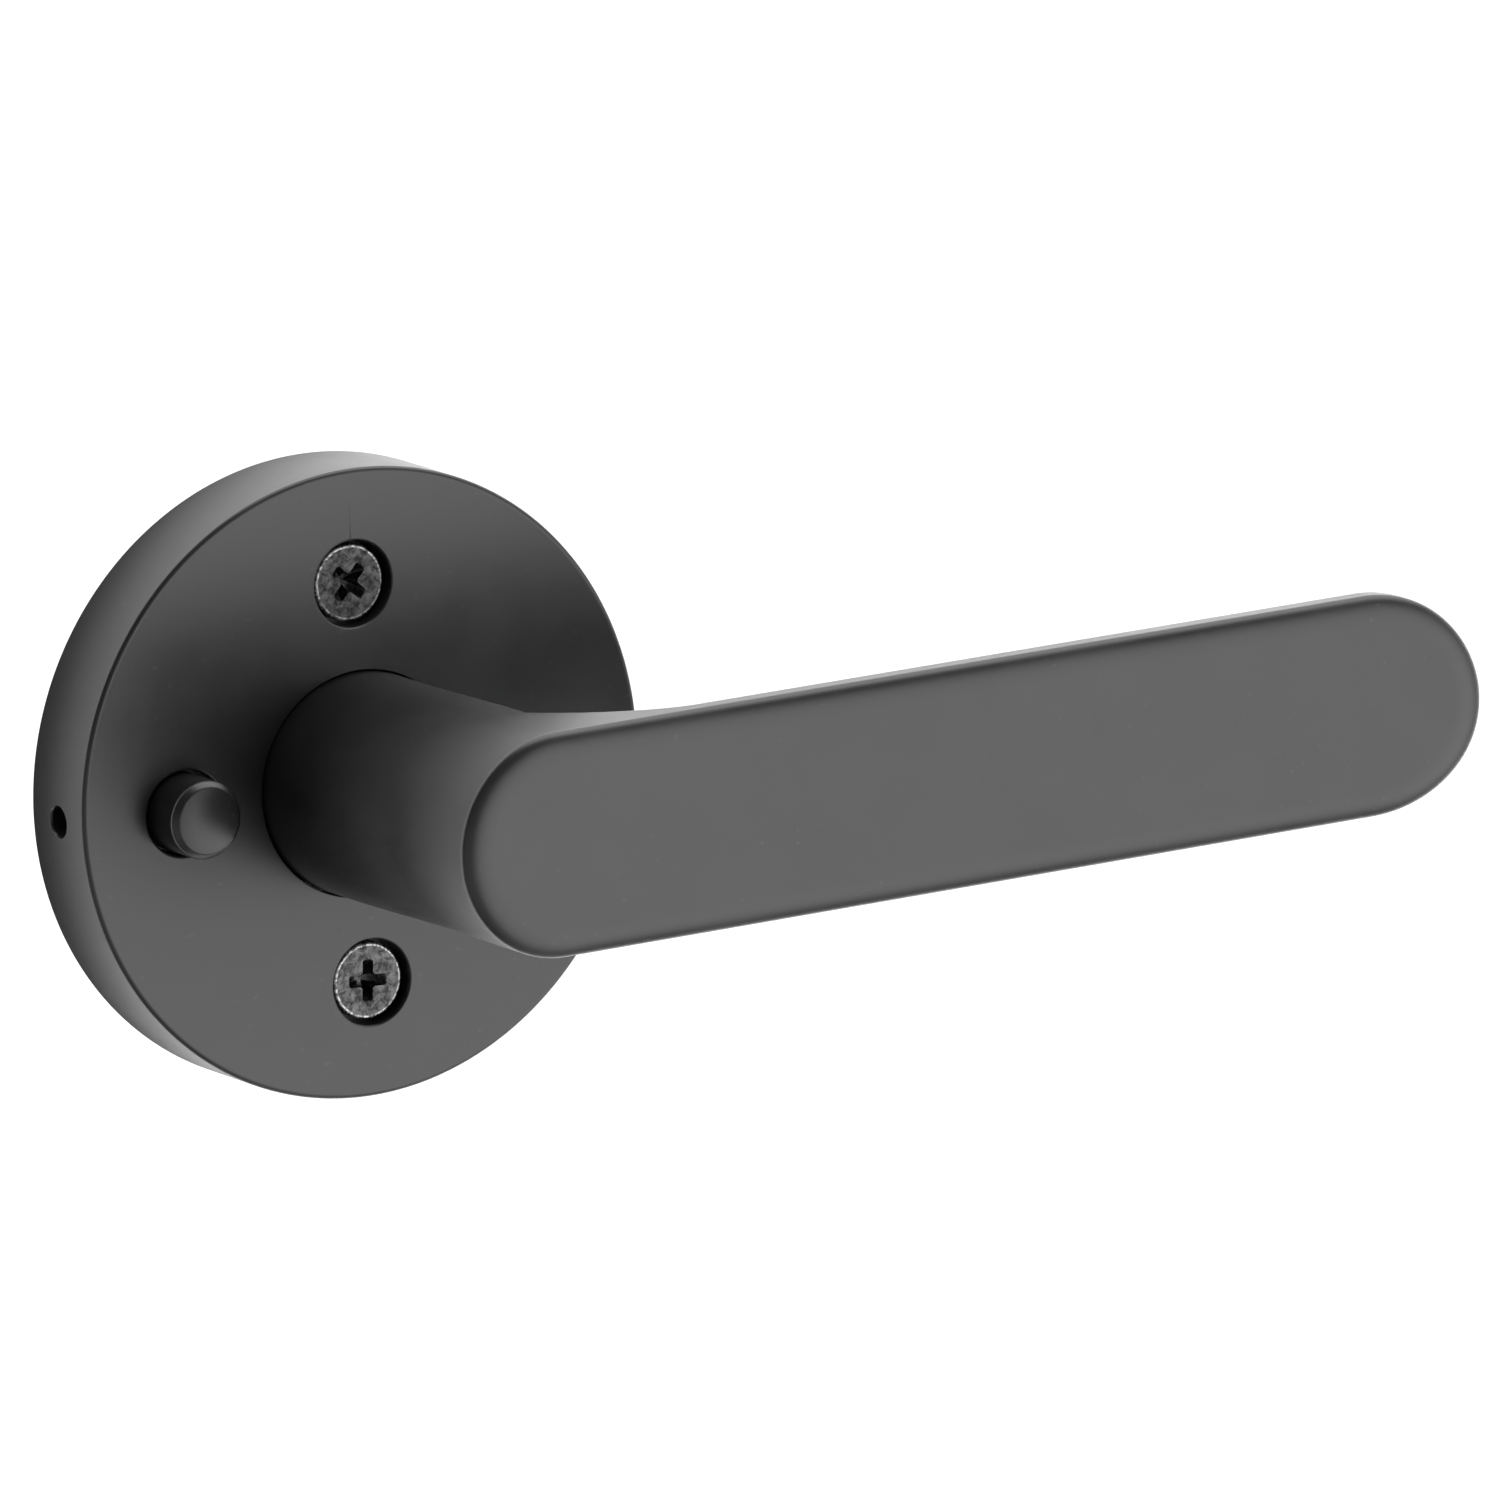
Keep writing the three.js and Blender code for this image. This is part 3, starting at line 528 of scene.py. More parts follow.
def make_rose():
    """The shell with its collar, bolt bosses, screw posts and rim boss. Its rim and face take
    exact normals, so that the cuts leave no marks in the sheen."""
    inner = 30.85
    roof = 8.2
    wide, deep = ROSE_EDGE
    edge = [(ROSE_RADIUS - wide * (1 - math.cos(a)), ROSE_DEPTH - deep * (1 - math.sin(a)))
            for a in np.linspace(QUARTER, 0, 13)]
    profile = rounded([
        (MOUTH, ROSE_DEPTH, 0.12),
        *edge,
        (ROSE_RADIUS, 0, 0.25),
        (inner, 0, 0.3),
        (inner, roof, 0.8),
        (14.5, roof, 0.8),
        (14.5, 4.6, 0.2),
        (10.6, 4.6, 0.2),
        (10.6, 7.6),
        (MOUTH, 7.6),
        (MOUTH, ROSE_DEPTH),
    ], steps=8)
    rose = piece_of("rose_cover", lathe(profile, 288))
    bolts = [(0, BOLT_OFFSET), (0, -BOLT_OFFSET)]
    posts = around(PLATE_SCREW_PLACES)
    leftwards = Matrix.Rotation(-QUARTER, 3, "Z")
    joined = [moved(rod(6.2, roof + 1, POST_BACK, 64), x, 0, z) for x, z in bolts]
    joined += [moved(rod(3.2, roof + 1, POST_BACK, 48), x, 0, z) for x, z in posts]
    joined.append(moved(rod(2.9, inner + 1, 26.6, 48), depth=RIM_HOLE[1], matrix=leftwards))
    combine(rose, joined, "UNION")
    cuts = [moved(drill(COUNTERBORE, ROSE_DEPTH, HEAD_FLOOR, 0.22, sides=96), x, 0, z) for x, z in bolts]
    cuts += [moved(drill(2.4, HEAD_FLOOR, POST_BACK, 0.1, 0.1), x, 0, z) for x, z in bolts]
    cuts += [moved(drill(1.6, 7.5, POST_BACK - 1, 0.1), x, 0, z) for x, z in posts]
    cuts.append(moved(drill(4.5, ROSE_DEPTH, 7.2, 0.3, sides=96), PIN_X))
    rim_hole = drill(RIM_HOLE[0], ROSE_RADIUS + 0.03, 25.6, 0.4, sides=64)
    cuts.append(moved(rim_hole, depth=RIM_HOLE[1], matrix=leftwards))
    smooth(combine(rose, cuts))

    mesh = rose.data
    normals, places, facing = corners_of(mesh)
    radial = places * (1, 0, 1)
    reach = np.linalg.norm(radial, axis=1)
    radial /= reach[:, None]
    on_rim = (np.abs(reach - ROSE_RADIUS) < 0.02) & ((facing * radial).sum(1) > 0.9)
    on_face = (np.abs(places[:, 1] + ROSE_DEPTH) < 0.005) & (facing[:, 1] < -0.9)
    normals[on_rim] = radial[on_rim]
    normals[on_face] = (0, -1, 0)
    mesh.normals_split_custom_set(normals.tolist())
    return rose


def cross_outline(reach, width, corner):
    """The outline of a cross-drive recess, its inner corners cut at 45 degrees."""
    half = width / 2
    quarter = [(reach * 0.93, -half), (reach, -half * 0.55), (reach, half * 0.55), (reach * 0.93, half),
               (half + corner, half), (half, half + corner)]
    points = []
    for side in range(4):
        c, s = math.cos(side * QUARTER), math.sin(side * QUARTER)
        points += [(x * c - z * s, x * s + z * c) for x, z in quarter]
    return points


def stack(outlines):
    """A closed body through outlines of equal length, each with its depth."""
    count = len(outlines[0][0])
    verts = [(x, -depth, z) for outline, depth in outlines for x, z in outline]
    rows = [list(range(i * count, (i + 1) * count)) for i in range(len(outlines))]
    return verts, skin(list(zip(rows, rows[1:])), count) + [rows[0][::-1], rows[-1]]


def cross_recess(reach, width, deep):
    """Cutter for a cross recess that narrows as it goes in, its top at depth 0."""
    return stack([
        (cross_outline(reach + 0.5, width + 0.3, 0.24), 0.5),
        (cross_outline(reach + 0.05, width + 0.06, 0.24), 0.0),
        (cross_outline(reach * 0.94, width * 0.97, 0.22), -0.12),
        (cross_outline(reach * 0.66, width * 0.8, 0.2), -0.7 * deep),
        (cross_outline(width * 0.5, width * 0.4, 0.02), -deep),
    ])


def screw(name, head, height, shank, length, thread_from, pitch, recess, edge=0.3, sunk=False):
    """A cross-drive screw. The top of its head is at depth 0 and the shank runs inwards."""
    sides = 48
    root = shank - 0.5 * pitch
    if sunk:
        profile = [(0, 0), (head, 0, 0.12), (head, -0.25, 0.1), (shank, -height, 0.3)]
    else:
        profile = [(0, 0), (head, 0, edge), (head, -height, 0.15), (shank, -height, 0.25)]
    profile = rounded([*profile, (shank, -height - 1)])[:-1]
    rows = [(np.full(sides, radius), depth) for radius, depth in profile]
    angles = 2 * math.pi * np.arange(sides) / sides
    steps = int((length - thread_from) / pitch * 8)
    for k in range(steps + 1):
        along = thread_from + (length - thread_from) * k / steps
        phase = (along / pitch + angles / (2 * math.pi)) % 1.0
        flank = np.clip((1 - np.abs(2 * phase - 1) - 0.1) / 0.72, 0, 1)
        grow = min(1.0, (along - thread_from) / (1.5 * pitch))
        fade = min(1.0, max(0.0, (length - along) / (0.8 * pitch)))
        crest = root + (shank - root) * fade
        rows.append((shank + (root + (crest - root) * flank - shank) * grow, -along))
    verts, rings = [(0.0, -rows[0][1], 0.0)], [[0] * sides]
    for radii, depth in rows[1:]:
        rings.append(list(range(len(verts), len(verts) + sides)))
        verts += [(r * math.cos(a), -depth, r * math.sin(a)) for r, a in zip(radii, angles)]
    rings.append([len(verts)] * sides)
    verts.append((0.0, length, 0.0))
    piece = piece_of(name, (verts, skin(list(zip(rings, rings[1:])), sides)))
    return smooth(combine(piece, [cross_recess(*recess)]), 38.0)


def stand(piece, x, depth, z, turn=0.0, reversed_end=False):
    """Puts a piece with its own axis in its place, its top towards the hand or the door."""
    flip = Matrix.Rotation(math.pi if reversed_end else 0.0, 4, "X")
    place = Matrix.Translation(Vector((x, -depth, z)) * MM)
    piece.matrix_world = place @ Matrix.Rotation(turn, 4, "Y") @ flip
    return piece


def make_plate():
    front, back = -PLATE_LOW[1], -PLATE_HIGH[1]
    outer = PLATE_HIGH[2]
    plate = piece_of("backing_plate", lathe(rounded([
        (12.6, front, 0.2), (outer, front, 0.3), (outer, back, 0.3), (12.6, back, 0.2), (12.6, front),
    ]), 192))
    through = [(2.4, 0, BOLT_OFFSET), (2.4, 0, -BOLT_OFFSET), (5.5, PIN_X, 0)]
    through += [(1.6, x, z) for x, z in around(CAGE_SCREW_PLACES)]
    cuts = [moved(drill(radius, front, back, 0.15, 0.2), x, 0, z) for radius, x, z in through]
    seat = lathe([(0, front + 1), (1.6, front + 1), (1.6, back + 1.45), (3.25, back), (3.45, back - 1),
                  (0, back - 1)], 64)
    cuts += [moved(seat, x, 0, z) for x, z in around(PLATE_SCREW_PLACES)]
    return smooth(combine(plate, cuts))


def make_cage():
    """The spring's cup with its four screwed ears, a slot for the spring's leg and the
    holes of the stop pins."""
    front, back = -0.1, CAGE_BACK
    cage = piece_of("spring_cup", lathe(rounded([
        (14.6, front, 0.12), (15.4, front, 0.12), (15.4, back, 1.2), (7.55, back, 0.15),
        (7.55, back + 1, 0.15), (14.6, back + 1, 0.5), (14.6, front),
    ], 6), 160))
    half, root = 3.6, 14.95
    reach = CAGE_SCREW_PLACES[0][0]
    end = [(reach + half * math.cos(a), half * math.sin(a)) for a in np.linspace(-QUARTER, QUARTER, 25)]
    outline = [(root, -half), *end, (root, half)]
    inset = [(root + (x - root) * 0.985, z * 0.965) for x, z in outline]
    ear = stack([(inset, front), (outline, front - 0.12), (outline, front - 0.88), (inset, front - 1)])
    combine(cage, [moved(ear, turn=angle) for _, angle in CAGE_SCREW_PLACES], "UNION")
    cuts = [moved(drill(1.6, front, front - 1, 0.1, 0.12), x, 0, z) for x, z in around(CAGE_SCREW_PLACES)]
    slot = [(11.0, -0.9), (20.0, -0.9), (20.0, 0.9), (11.0, 0.9)]
    cuts.append(moved(prism(slot, -7.1, -8.9), turn=LEG_SLOT))
    stops = around([(STOP_PLACE, QUARTER + STOP_SWING), (STOP_PLACE, QUARTER - STOP_SWING)])
    cuts += [moved(drill(1.6, back + 1, back, 0.1, 0.15), x, 0, z) for x, z in stops]
    return smooth(combine(cage, cuts))


def helix(radius, turns, start, end, angle, steps=32):
    """Points of a coil between two depths."""
    count = round(turns * steps)
    points = []
    for i in range(count + 1):
        x, z = polar(radius, angle + 2 * math.pi * turns * i / count)
        points.append((x, -(start + (end - start) * i / count), z))
    return points


def eased(points, passes=3):
    """A polyline with its corners cut a few times, its ends kept."""
    points = np.array(points, float)
    for _ in range(passes):
        quarter = points[:-1] * 0.75 + points[1:] * 0.25
        three = points[:-1] * 0.25 + points[1:] * 0.75
        points = np.concatenate([points[:1], np.stack([quarter, three], 1).reshape(-1, 3), points[-1:]])
    return points


def make_return_spring():
    """The torsion coil: its outer leg reaches the cage's slot and its inner one the hub's notch."""
    back, front, radius = -8.0, -2.8, 8.7
    bends = ((15.9, 0), (13.5, 0), (11.1, 2), (9.3, 8))
    leg = [(x, -back, z) for x, z in around([(r, LEG_SLOT + math.radians(a)) for r, a in bends])]
    coil = helix(radius, 4, back, front, LEG_NOTCH)
    x, z = polar(radius, LEG_NOTCH)
    inner = [(x, -front - rise, z) for rise in (0.5, 1.0, 1.5, 1.8)]
    spring = piece_of("torsion_spring", tube(np.concatenate([eased(leg, 2), coil, inner]), 0.6, 16))
    return smooth(spring, 60)


def make_pin_spring():
    points = [(x + PIN_X, y, z) for x, y, z in helix(3.2, 6, -4.8, 6.4, 0, 28)]
    return smooth(piece_of("button_spring", tube(points, 0.3, 10)), 60)


def hex_outline(radius):
    return [polar(radius, k * math.pi / 3) for k in range(6)]


def socket_screw(name, radius, length, socket, socket_depth, edge=0.15):
    """A headless screw with a hexagon socket, its outer end at depth 0."""
    sides = 40
    pitch = radius * 0.32
    angles = 2 * math.pi * np.arange(sides) / sides
    rows = [(np.full(sides, r), d) for r, d in ((radius - edge - 0.15, 0.0), (radius - 0.15, -edge))]
    steps = int(length / pitch * 8)
    for k in range(1, steps):
        along = edge + (length - 2 * edge) * k / steps
        phase = (along / pitch + angles / (2 * math.pi)) % 1.0
        rows.append((radius - 0.22 * np.clip(1.3 * np.abs(2 * phase - 1), 0, 1), -along))
    inner_end = ((radius - 0.15, edge - length), (radius - edge - 0.25, -length))
    rows += [(np.full(sides, r), d) for r, d in inner_end]
    verts, rings = [(0.0, 0.0, 0.0)], [[0] * sides]
    for radii, depth in rows:
        rings.append(list(range(len(verts), len(verts) + sides)))
        verts += [(r * math.cos(a), -depth, r * math.sin(a)) for r, a in zip(radii, angles)]
    rings.append([len(verts)] * sides)
    verts.append((0.0, length, 0.0))
    piece = piece_of(name, (verts, skin(list(zip(rings, rings[1:])), sides)))
    cutter = stack([(hex_outline(socket + 0.3), 0.3), (hex_outline(socket), -0.08),
                    (hex_outline(socket), -socket_depth), (hex_outline(socket * 0.1), -socket_depth - 0.4)])
    return smooth(combine(piece, [cutter]), 38)


# ---- the lever ----

def lever_field(x, d, z):
    """Signed distance to the lever's outside from the shoulder outwards, about, in
    millimetres. The neck flares into the flat paddle, and every edge is rounded."""
    def soft_max(a, b, r):
        return (np.minimum(np.maximum(a + r, b + r), 0)
                + np.hypot(np.maximum(a + r, 0), np.maximum(b + r, 0)) - r)

    def soft_min(a, b, r):
        return np.maximum(r, np.minimum(a, b)) - np.hypot(np.maximum(r - a, 0), np.maximum(r - b, 0))

    tip = PADDLE_REACH - TIP_LONGER
    past = np.maximum(x - tip, 0) / (1 + TIP_LONGER / PADDLE_RADIUS)
    droop = TIP_DROP * (past / PADDLE_RADIUS) ** 2
    side = np.hypot(np.minimum(x - NECK_LEAN, 0) + past, z + droop) - PADDLE_RADIUS
    inwards = np.clip(1 + side / PADDLE_RADIUS, 0, 1.3)
    back = PADDLE_FACE - PADDLE_SIDE - PADDLE_CROWN * (1 - inwards**2) - d
    taper = np.clip((d - NECK_TAPER[0]) / (NECK_TAPER[1] - NECK_TAPER[0]), 0, 1)
    taper = taper * taper * (3 - 2 * taper)
    across = np.hypot(x - NECK_LEAN * taper, z)
    neck = across - (NECK_RADIUS + (PADDLE_RADIUS - NECK_RADIUS) * taper)
    flare = soft_min(across - PADDLE_RADIUS, back, NECK_FILLET)
    edge = BACK_EDGE * np.clip((x - 2) / 16, 0, 1) + 1e-4
    wide, deep = PADDLE_EDGE
    body = soft_max(soft_max(flare, side, edge) * deep / wide, d - PADDLE_FACE, deep)
    stem = soft_max(soft_max(neck, d - PADDLE_FACE + 6, 1e-4), NECK_SHOULDER - d, 0.4)
    return np.minimum(np.maximum(body, NECK_SHOULDER - d), stem)


def stretch(*runs):
    """Grid lines: each run is (from, to, step)."""
    lines = [np.linspace(a, b, max(2, round((b - a) / step) + 1))[:-1] for a, b, step in runs]
    return np.concatenate([*lines, [runs[-1][1]]])


def skin_field(field, xs, ds, zs):
    """Quads over the surface where a field is zero, by surface nets, with every vertex
    then moved onto the surface."""
    value = field(xs[:, None, None], ds[None, :, None], zs[None, None, :])
    inside = value < 0
    lines = (xs, ds, zs)
    shape = tuple(n - 1 for n in value.shape)
    total = np.zeros(shape + (3,))
    hits = np.zeros(shape)
    for axis in range(3):
        low = [slice(None)] * 3
        high = [slice(None)] * 3
        low[axis], high[axis] = slice(0, -1), slice(1, None)
        a, b = value[tuple(low)], value[tuple(high)]
        crossed = (a < 0) != (b < 0)
        t = np.where(crossed, a / np.where(crossed, a - b, 1), 0)
        points = np.stack(np.meshgrid(*[
            lines[k][:-1] if k == axis else lines[k] for k in range(3)], indexing="ij"), -1)
        step = np.diff(lines[axis]).reshape([-1 if k == axis else 1 for k in range(3)])
        points[..., axis] += t * step
        others = [k for k in range(3) if k != axis]
        for i in (0, 1):
            for j in (0, 1):
                pick = [slice(None)] * 3
                for k, offset in zip(others, (i, j)):
                    pick[k] = slice(offset, offset + shape[k])
                use = crossed[tuple(pick)]
                total += np.where(use[..., None], points[tuple(pick)], 0)
                hits += use
    used = hits > 0
    number = np.full(shape, -1)
    number[used] = np.arange(used.sum())
    verts = total[used] / hits[used][:, None]
    faces = []
    for axis in range(3):
        others = [k for k in range(3) if k != axis]
        low = [slice(1, -1)] * 3
        high = [slice(1, -1)] * 3
        low[axis], high[axis] = slice(0, -1), slice(1, None)
        a, b = inside[tuple(low)], inside[tuple(high)]
        where = np.argwhere(a != b)
        for k in others:
            where[:, k] += 1
        ring = []
        for i, j in ((0, 0), (1, 0), (1, 1), (0, 1)):
            at = where.copy()
            at[:, others[0]] -= i
            at[:, others[1]] -= j
            ring.append(number[at[:, 0], at[:, 1], at[:, 2]])
        faces.append(np.stack(ring, 1))
    for _ in range(6):
        height, slope = slopes(field, verts)
        verts = verts - slope * (height / np.maximum((slope**2).sum(1), 0.05))[:, None]
    return verts, np.concatenate(faces)


def slopes(field, points, step=1e-3):
    """A field's value and gradient at each point (x, depth, z)."""
    def at(shift):
        moved_points = points + shift
        return field(moved_points[:, 0], moved_points[:, 1], moved_points[:, 2])

    sides = np.eye(3) * step
    slope = np.stack([(at(s) - at(-s)) / (2 * step) for s in sides], 1)
    return at(np.zeros(3)), slope


def skin_normals(mesh):
    """Smooth shading, with the lever field's own normals on its surface."""
    mesh.shade_smooth()
    mesh.set_sharp_from_angle(angle=math.radians(32))
    points = np.array([v.co for v in mesh.vertices]) / MM
    points[:, 1] *= -1
    height, slope = slopes(lever_field, points)
    slope /= np.maximum(np.linalg.norm(slope, axis=1), 1e-9)[:, None]
    slope[:, 1] *= -1
    on_skin = np.abs(height) < 0.02
    normals = np.zeros((len(mesh.loops), 3))
    for polygon in mesh.polygons:
        corners = list(polygon.loop_indices)
        index = [mesh.loops[k].vertex_index for k in corners]
        facing = slope[index] @ np.array(polygon.normal)
        if on_skin[index].all() and facing.min() > 0.6:
            normals[corners] = slope[index]
    mesh.normals_split_custom_set(normals.tolist())


def make_lever():
    """Neck and paddle from the field, the turned tail, the spindle's socket and the set
    screw's hole."""
    xs = stretch((-12.6, -8.0, 0.3), (-8.0, 24.0, 0.5), (24.0, 97.0, 1.4), (97.0, 108.0, 0.5),
                 (108.0, 113.7, 0.3))
    ds = stretch((8.3, 10.0, 0.2), (10.0, 33.0, 0.8), (33.0, 45.0, 0.5), (45.0, 51.6, 0.22))
    zs = stretch((-12.6, -8.0, 0.24), (-8.0, 8.0, 0.6), (8.0, 12.6, 0.24))
    verts, faces = skin_field(lever_field, xs, ds, zs)
    shape = [(x, -d, z) for x, d, z in verts], [list(map(int, f)) for f in faces]
    lever = piece_of("lever_handle", shape)
    tail = lathe(rounded([
        (0, 10.5), (TAIL_RADIUS, 10.5), (TAIL_RADIUS, 2.3, 0.1), (8.2, 2.3), (8.2, 0.7),
        (TAIL_RADIUS, 0.7, 0.1), (TAIL_RADIUS, TAIL_BACK, 0.45), (0, TAIL_BACK),
    ]), 128)
    combine(lever, [tail], "UNION")
    down = Matrix.Rotation(QUARTER, 3, "X")
    hole = moved(drill(2.5, 11.72, 0, 0.12, sides=64), depth=SET_SCREW_DEPTH, matrix=down)
    combine(lever, [prism(square_outline(SOCKET_HALF), SOCKET_DEPTH, TAIL_BACK - 1), hole])
    skin_normals(lever.data)
    return lever


# ---- pieces on the lever's axis and the privacy pin ----

def soften(piece, width, angle):
    """A small bevel on the edges that are sharper than an angle in degrees."""
    modifier = piece.modifiers.new("edges", "BEVEL")
    modifier.width = width * MM
    modifier.segments = 2
    modifier.angle_limit = math.radians(angle)
    settle(piece)


def make_spindle():
    """An 8 mm square bar with broken corners and chamfered ends."""
    half, c = 4.0, 3.5
    outline = [(half, -c), (half, c), (c, half), (-c, half), (-half, c), (-half, -c), (-c, -half),
               (c, -half)]
    front, back = -SPINDLE_LOW[1], -SPINDLE_HIGH[1]
    small = [(x * 0.9, z * 0.9) for x, z in outline]
    sections = [(small, front), (outline, front - 0.6), (outline, back + 0.6), (small, back)]
    bar = piece_of("square_spindle", stack(sections))
    soften(bar, 0.12, 25)
    return smooth(bar, 40)


def make_hub():
    """The hub with its square bore, its stop lug and the notch for the spring's inner leg."""
    hub = piece_of("spring_driver", lathe(rounded([
        (0, -0.6), (9.8, -0.6, 0.15), (9.8, -1.8, 0.15), (7.2, -1.8, 0.2), (7.2, -10.4, 0.3), (0, -10.4),
    ]), 128))
    lug = [polar(13.6, QUARTER + a) for a in np.linspace(-LUG_HALF, LUG_HALF, 15)]
    lug += [polar(8.8, QUARTER + a) for a in np.linspace(LUG_HALF, -LUG_HALF, 9)]
    combine(hub, [prism(lug, -0.6, -1.8)], "UNION")
    notch = [(7.5, -1.2), (17.0, -1.2), (17.0, 1.2), (7.5, 1.2)]
    combine(hub, [prism(square_outline(SOCKET_HALF), 1, -12),
                  moved(prism(notch, 0.4, -2.8), turn=LEG_NOTCH)])
    return smooth(hub)


def make_button():
    front = -BUTTON_LOW[1]
    radius = (BUTTON_HIGH[2] - BUTTON_LOW[2]) / 2
    body = 4.15
    flange_front, back = 7.9, -BUTTON_HIGH[1]
    return smooth(piece_of("push_pin", lathe(rounded([
        (0, front), (body - 0.6, front - 0.8, 0.5), (body, front - 1.4, 0.5), (body, flange_front),
        (radius, flange_front, 0.12), (radius, back, 0.12), (1.8, back, 0.1), (1.8, 13.0), (0, 13.0),
    ]), 128)), 50)


def make_stem():
    return smooth(piece_of("pin_stem", lathe(rounded([
        (0, 12.7), (1.5, 12.7, 0.1), (1.5, -6.5, 0.05), (1.0, -6.5), (1.0, -7.6), (1.5, -7.6, 0.05),
        (1.5, STEM_BACK, 0.45), (0, STEM_BACK),
    ]), 48)))


def make_guide():
    return smooth(piece_of("stem_guide", lathe(rounded([
        (4.0, 2.0, 0.15), (5.2, 2.0, 0.2), (5.2, -6.5, 0.4), (1.8, -6.5, 0.2), (1.8, -5.5, 0.1),
        (4.0, -5.5, 0.3), (4.0, 2.0),
    ]), 96)))


def make_e_clip():
    outer, inner = 3.2, 1.3
    angles = np.linspace(QUARTER + 0.36, QUARTER - 0.36 + 2 * math.pi, 60)
    outline = [polar(outer, a) for a in angles]
    inside = np.linspace(QUARTER - 1.0 + 2 * math.pi, QUARTER + 1.0, 40)
    outline += [polar(inner, a) for a in inside]
    clip = piece_of("retaining_clip", prism(outline, -6.8, -7.3))
    soften(clip, 0.06, 50)
    return smooth(clip, 50)


def make_stop_pin(name, place):
    x, z = place
    shape = lathe(rounded([(0, -0.6), (STOP_PIN, -0.6, 0.2), (STOP_PIN, CAGE_BACK, 0.2),
                           (0, CAGE_BACK)]), 40)
    return smooth(piece_of(name, moved(shape, x, 0, z)))


# ---- the scene ----

def finish_piece(piece, material, slot, body, *nodes):
    """Gives a new piece its material and its body, and hides the CAD nodes it stands for."""
    piece.data.materials.clear()
    piece.data.materials.append(material)
    if body:
        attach(piece, body)
    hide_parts(*nodes)
    return piece


def build():
    black, dark, plated = black_paint(), steel_with_rim_wear_and_highlight(), plated_screw()
    zinc, drawn, spring, white = zinc_plate(), drawn_bar(), spring_steel(), nylon()
    rose_body, lever_body, pin_body = "rose_assembly", "lever", "privacy_pin"

    finish_piece(make_rose(), black, "black_paint", rose_body, "rose")
    finish_piece(make_lever(), black, "black_paint", lever_body, "lever")
    finish_piece(make_plate(), zinc, "zinc_plate", rose_body, "mounting_plate")
    finish_piece(make_cage(), zinc, "zinc_plate", rose_body, "spring_cage")

    for name, side, turn in (("upper", 1, math.pi * 0.24), ("lower", -1, math.pi * 0.02)):
        bolt = stand(screw(f"{name}_through_bolt", **THROUGH_BOLT), 0, HEAD_TOP, side * BOLT_OFFSET, turn)
        finish_piece(bolt, dark, "dark_steel", rose_body, f"{name}_mounting_screw")
    for i, (x, z) in enumerate(around(PLATE_SCREW_PLACES), 1):
        small = stand(screw(f"countersunk_screw_{i}", **PLATE_SCREW), x, 0.2, z, 0.7 * i, True)
        finish_piece(small, plated, "screw_steel", rose_body, f"plate_screw_{i}")
    for i, (x, z) in enumerate(around(CAGE_SCREW_PLACES), 1):
        small = stand(screw(f"pan_screw_{i}", **CAGE_SCREW), x, -2.9, z, 1.1 * i, True)
        finish_piece(small, plated, "screw_steel", rose_body, f"cage_screw_{i}")

    for side, turn in (("left", STOP_SWING), ("right", -STOP_SWING)):
        peg = make_stop_pin(f"stop_peg_{side}", polar(STOP_PLACE, QUARTER + turn))
        finish_piece(peg, drawn, "zinc_plate", rose_body, f"stop_pin_{side}")

    rim_screw = socket_screw("rim_socket_screw", 1.45, 4.3, 0.75, 1.8, 0.12)
    rim_screw.matrix_world = (Matrix.Translation(Vector((-31.2, -RIM_HOLE[1], 0)) * MM)
                              @ Matrix.Rotation(-QUARTER, 4, "Z"))
    finish_piece(rim_screw, dark, "dark_steel", rose_body, "rim_grub_screw")
    clamp = socket_screw("spindle_clamp_screw", 2.2, 6.3, 1.44, 2.5)
    clamp.matrix_world = (Matrix.Translation(Vector((0, -SET_SCREW_DEPTH, -10.6)) * MM)
                          @ Matrix.Rotation(QUARTER, 4, "X"))
    finish_piece(clamp, dark, "dark_steel", lever_body, "lever_set_screw")

    guide = stand(make_guide(), PIN_X, 0, 0)
    finish_piece(guide, white, "nylon", rose_body, "pin_guide")
    finish_piece(make_spindle(), drawn, "zinc_plate", lever_body, "spindle")
    finish_piece(make_hub(), zinc, "zinc_plate", lever_body, "drive_hub")
    finish_piece(stand(make_button(), PIN_X, 0, 0), black, "black_paint", pin_body, "privacy_button")
    finish_piece(stand(make_stem(), PIN_X, 0, 0), drawn, "zinc_plate", pin_body, "privacy_stem")
    finish_piece(stand(make_e_clip(), PIN_X, 0, 0), spring, "spring_steel", pin_body, "pin_e_clip")

    coil = finish_piece(make_return_spring(), spring, "spring_steel", None, "return_spring")
    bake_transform(coil)
    push = finish_piece(make_pin_spring(), spring, "spring_steel", rose_body, "pin_spring")
    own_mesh(push)

    kept = {"neck_bush": white, "thrust_washer": zinc, "wave_washer": spring, "circlip": spring}
    for node, material in kept.items():
        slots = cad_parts[node].data.materials
        slots.clear()
        slots.append(material)


# ---- the stage, in metres ----

# Each soft light of the surround: direction, angle of full light, angle of none, strength.
LOBES = (
    ((0.495, -0.8425, -0.213), 15, 42, 2.15),
    ((0.95, -0.2, -0.2), 18, 42, 0.65),
    ((0.45, -0.35, -0.82), 15, 45, 0.5),
    ((-0.64, -0.64, -0.42), 15, 45, 0.4),
    ((0, 1, 0), 60, 104, 0.38),
    ((0.48, -0.05, 0.87), 12, 40, 3.2),
)
AMBIENT = 0.04
FLOOR_DROP = 0.12  # how far the floor lies below the lever's axis
ROOM = [(0, 0), (3.1, 0), (4.1, 0.25), (4.6, 0.9), (4.8, 2.4), (4.3, 4.1), (2.4, 5.3), (0, 5.5)]
CAMERA_PLACE = (-1.1778, -2.0963, 0.5248)
CAMERA_ANGLES = (30.42, 12.32, -2.49)  # yaw, pitch down and roll, in degrees
CAMERA_LENS = 566.3


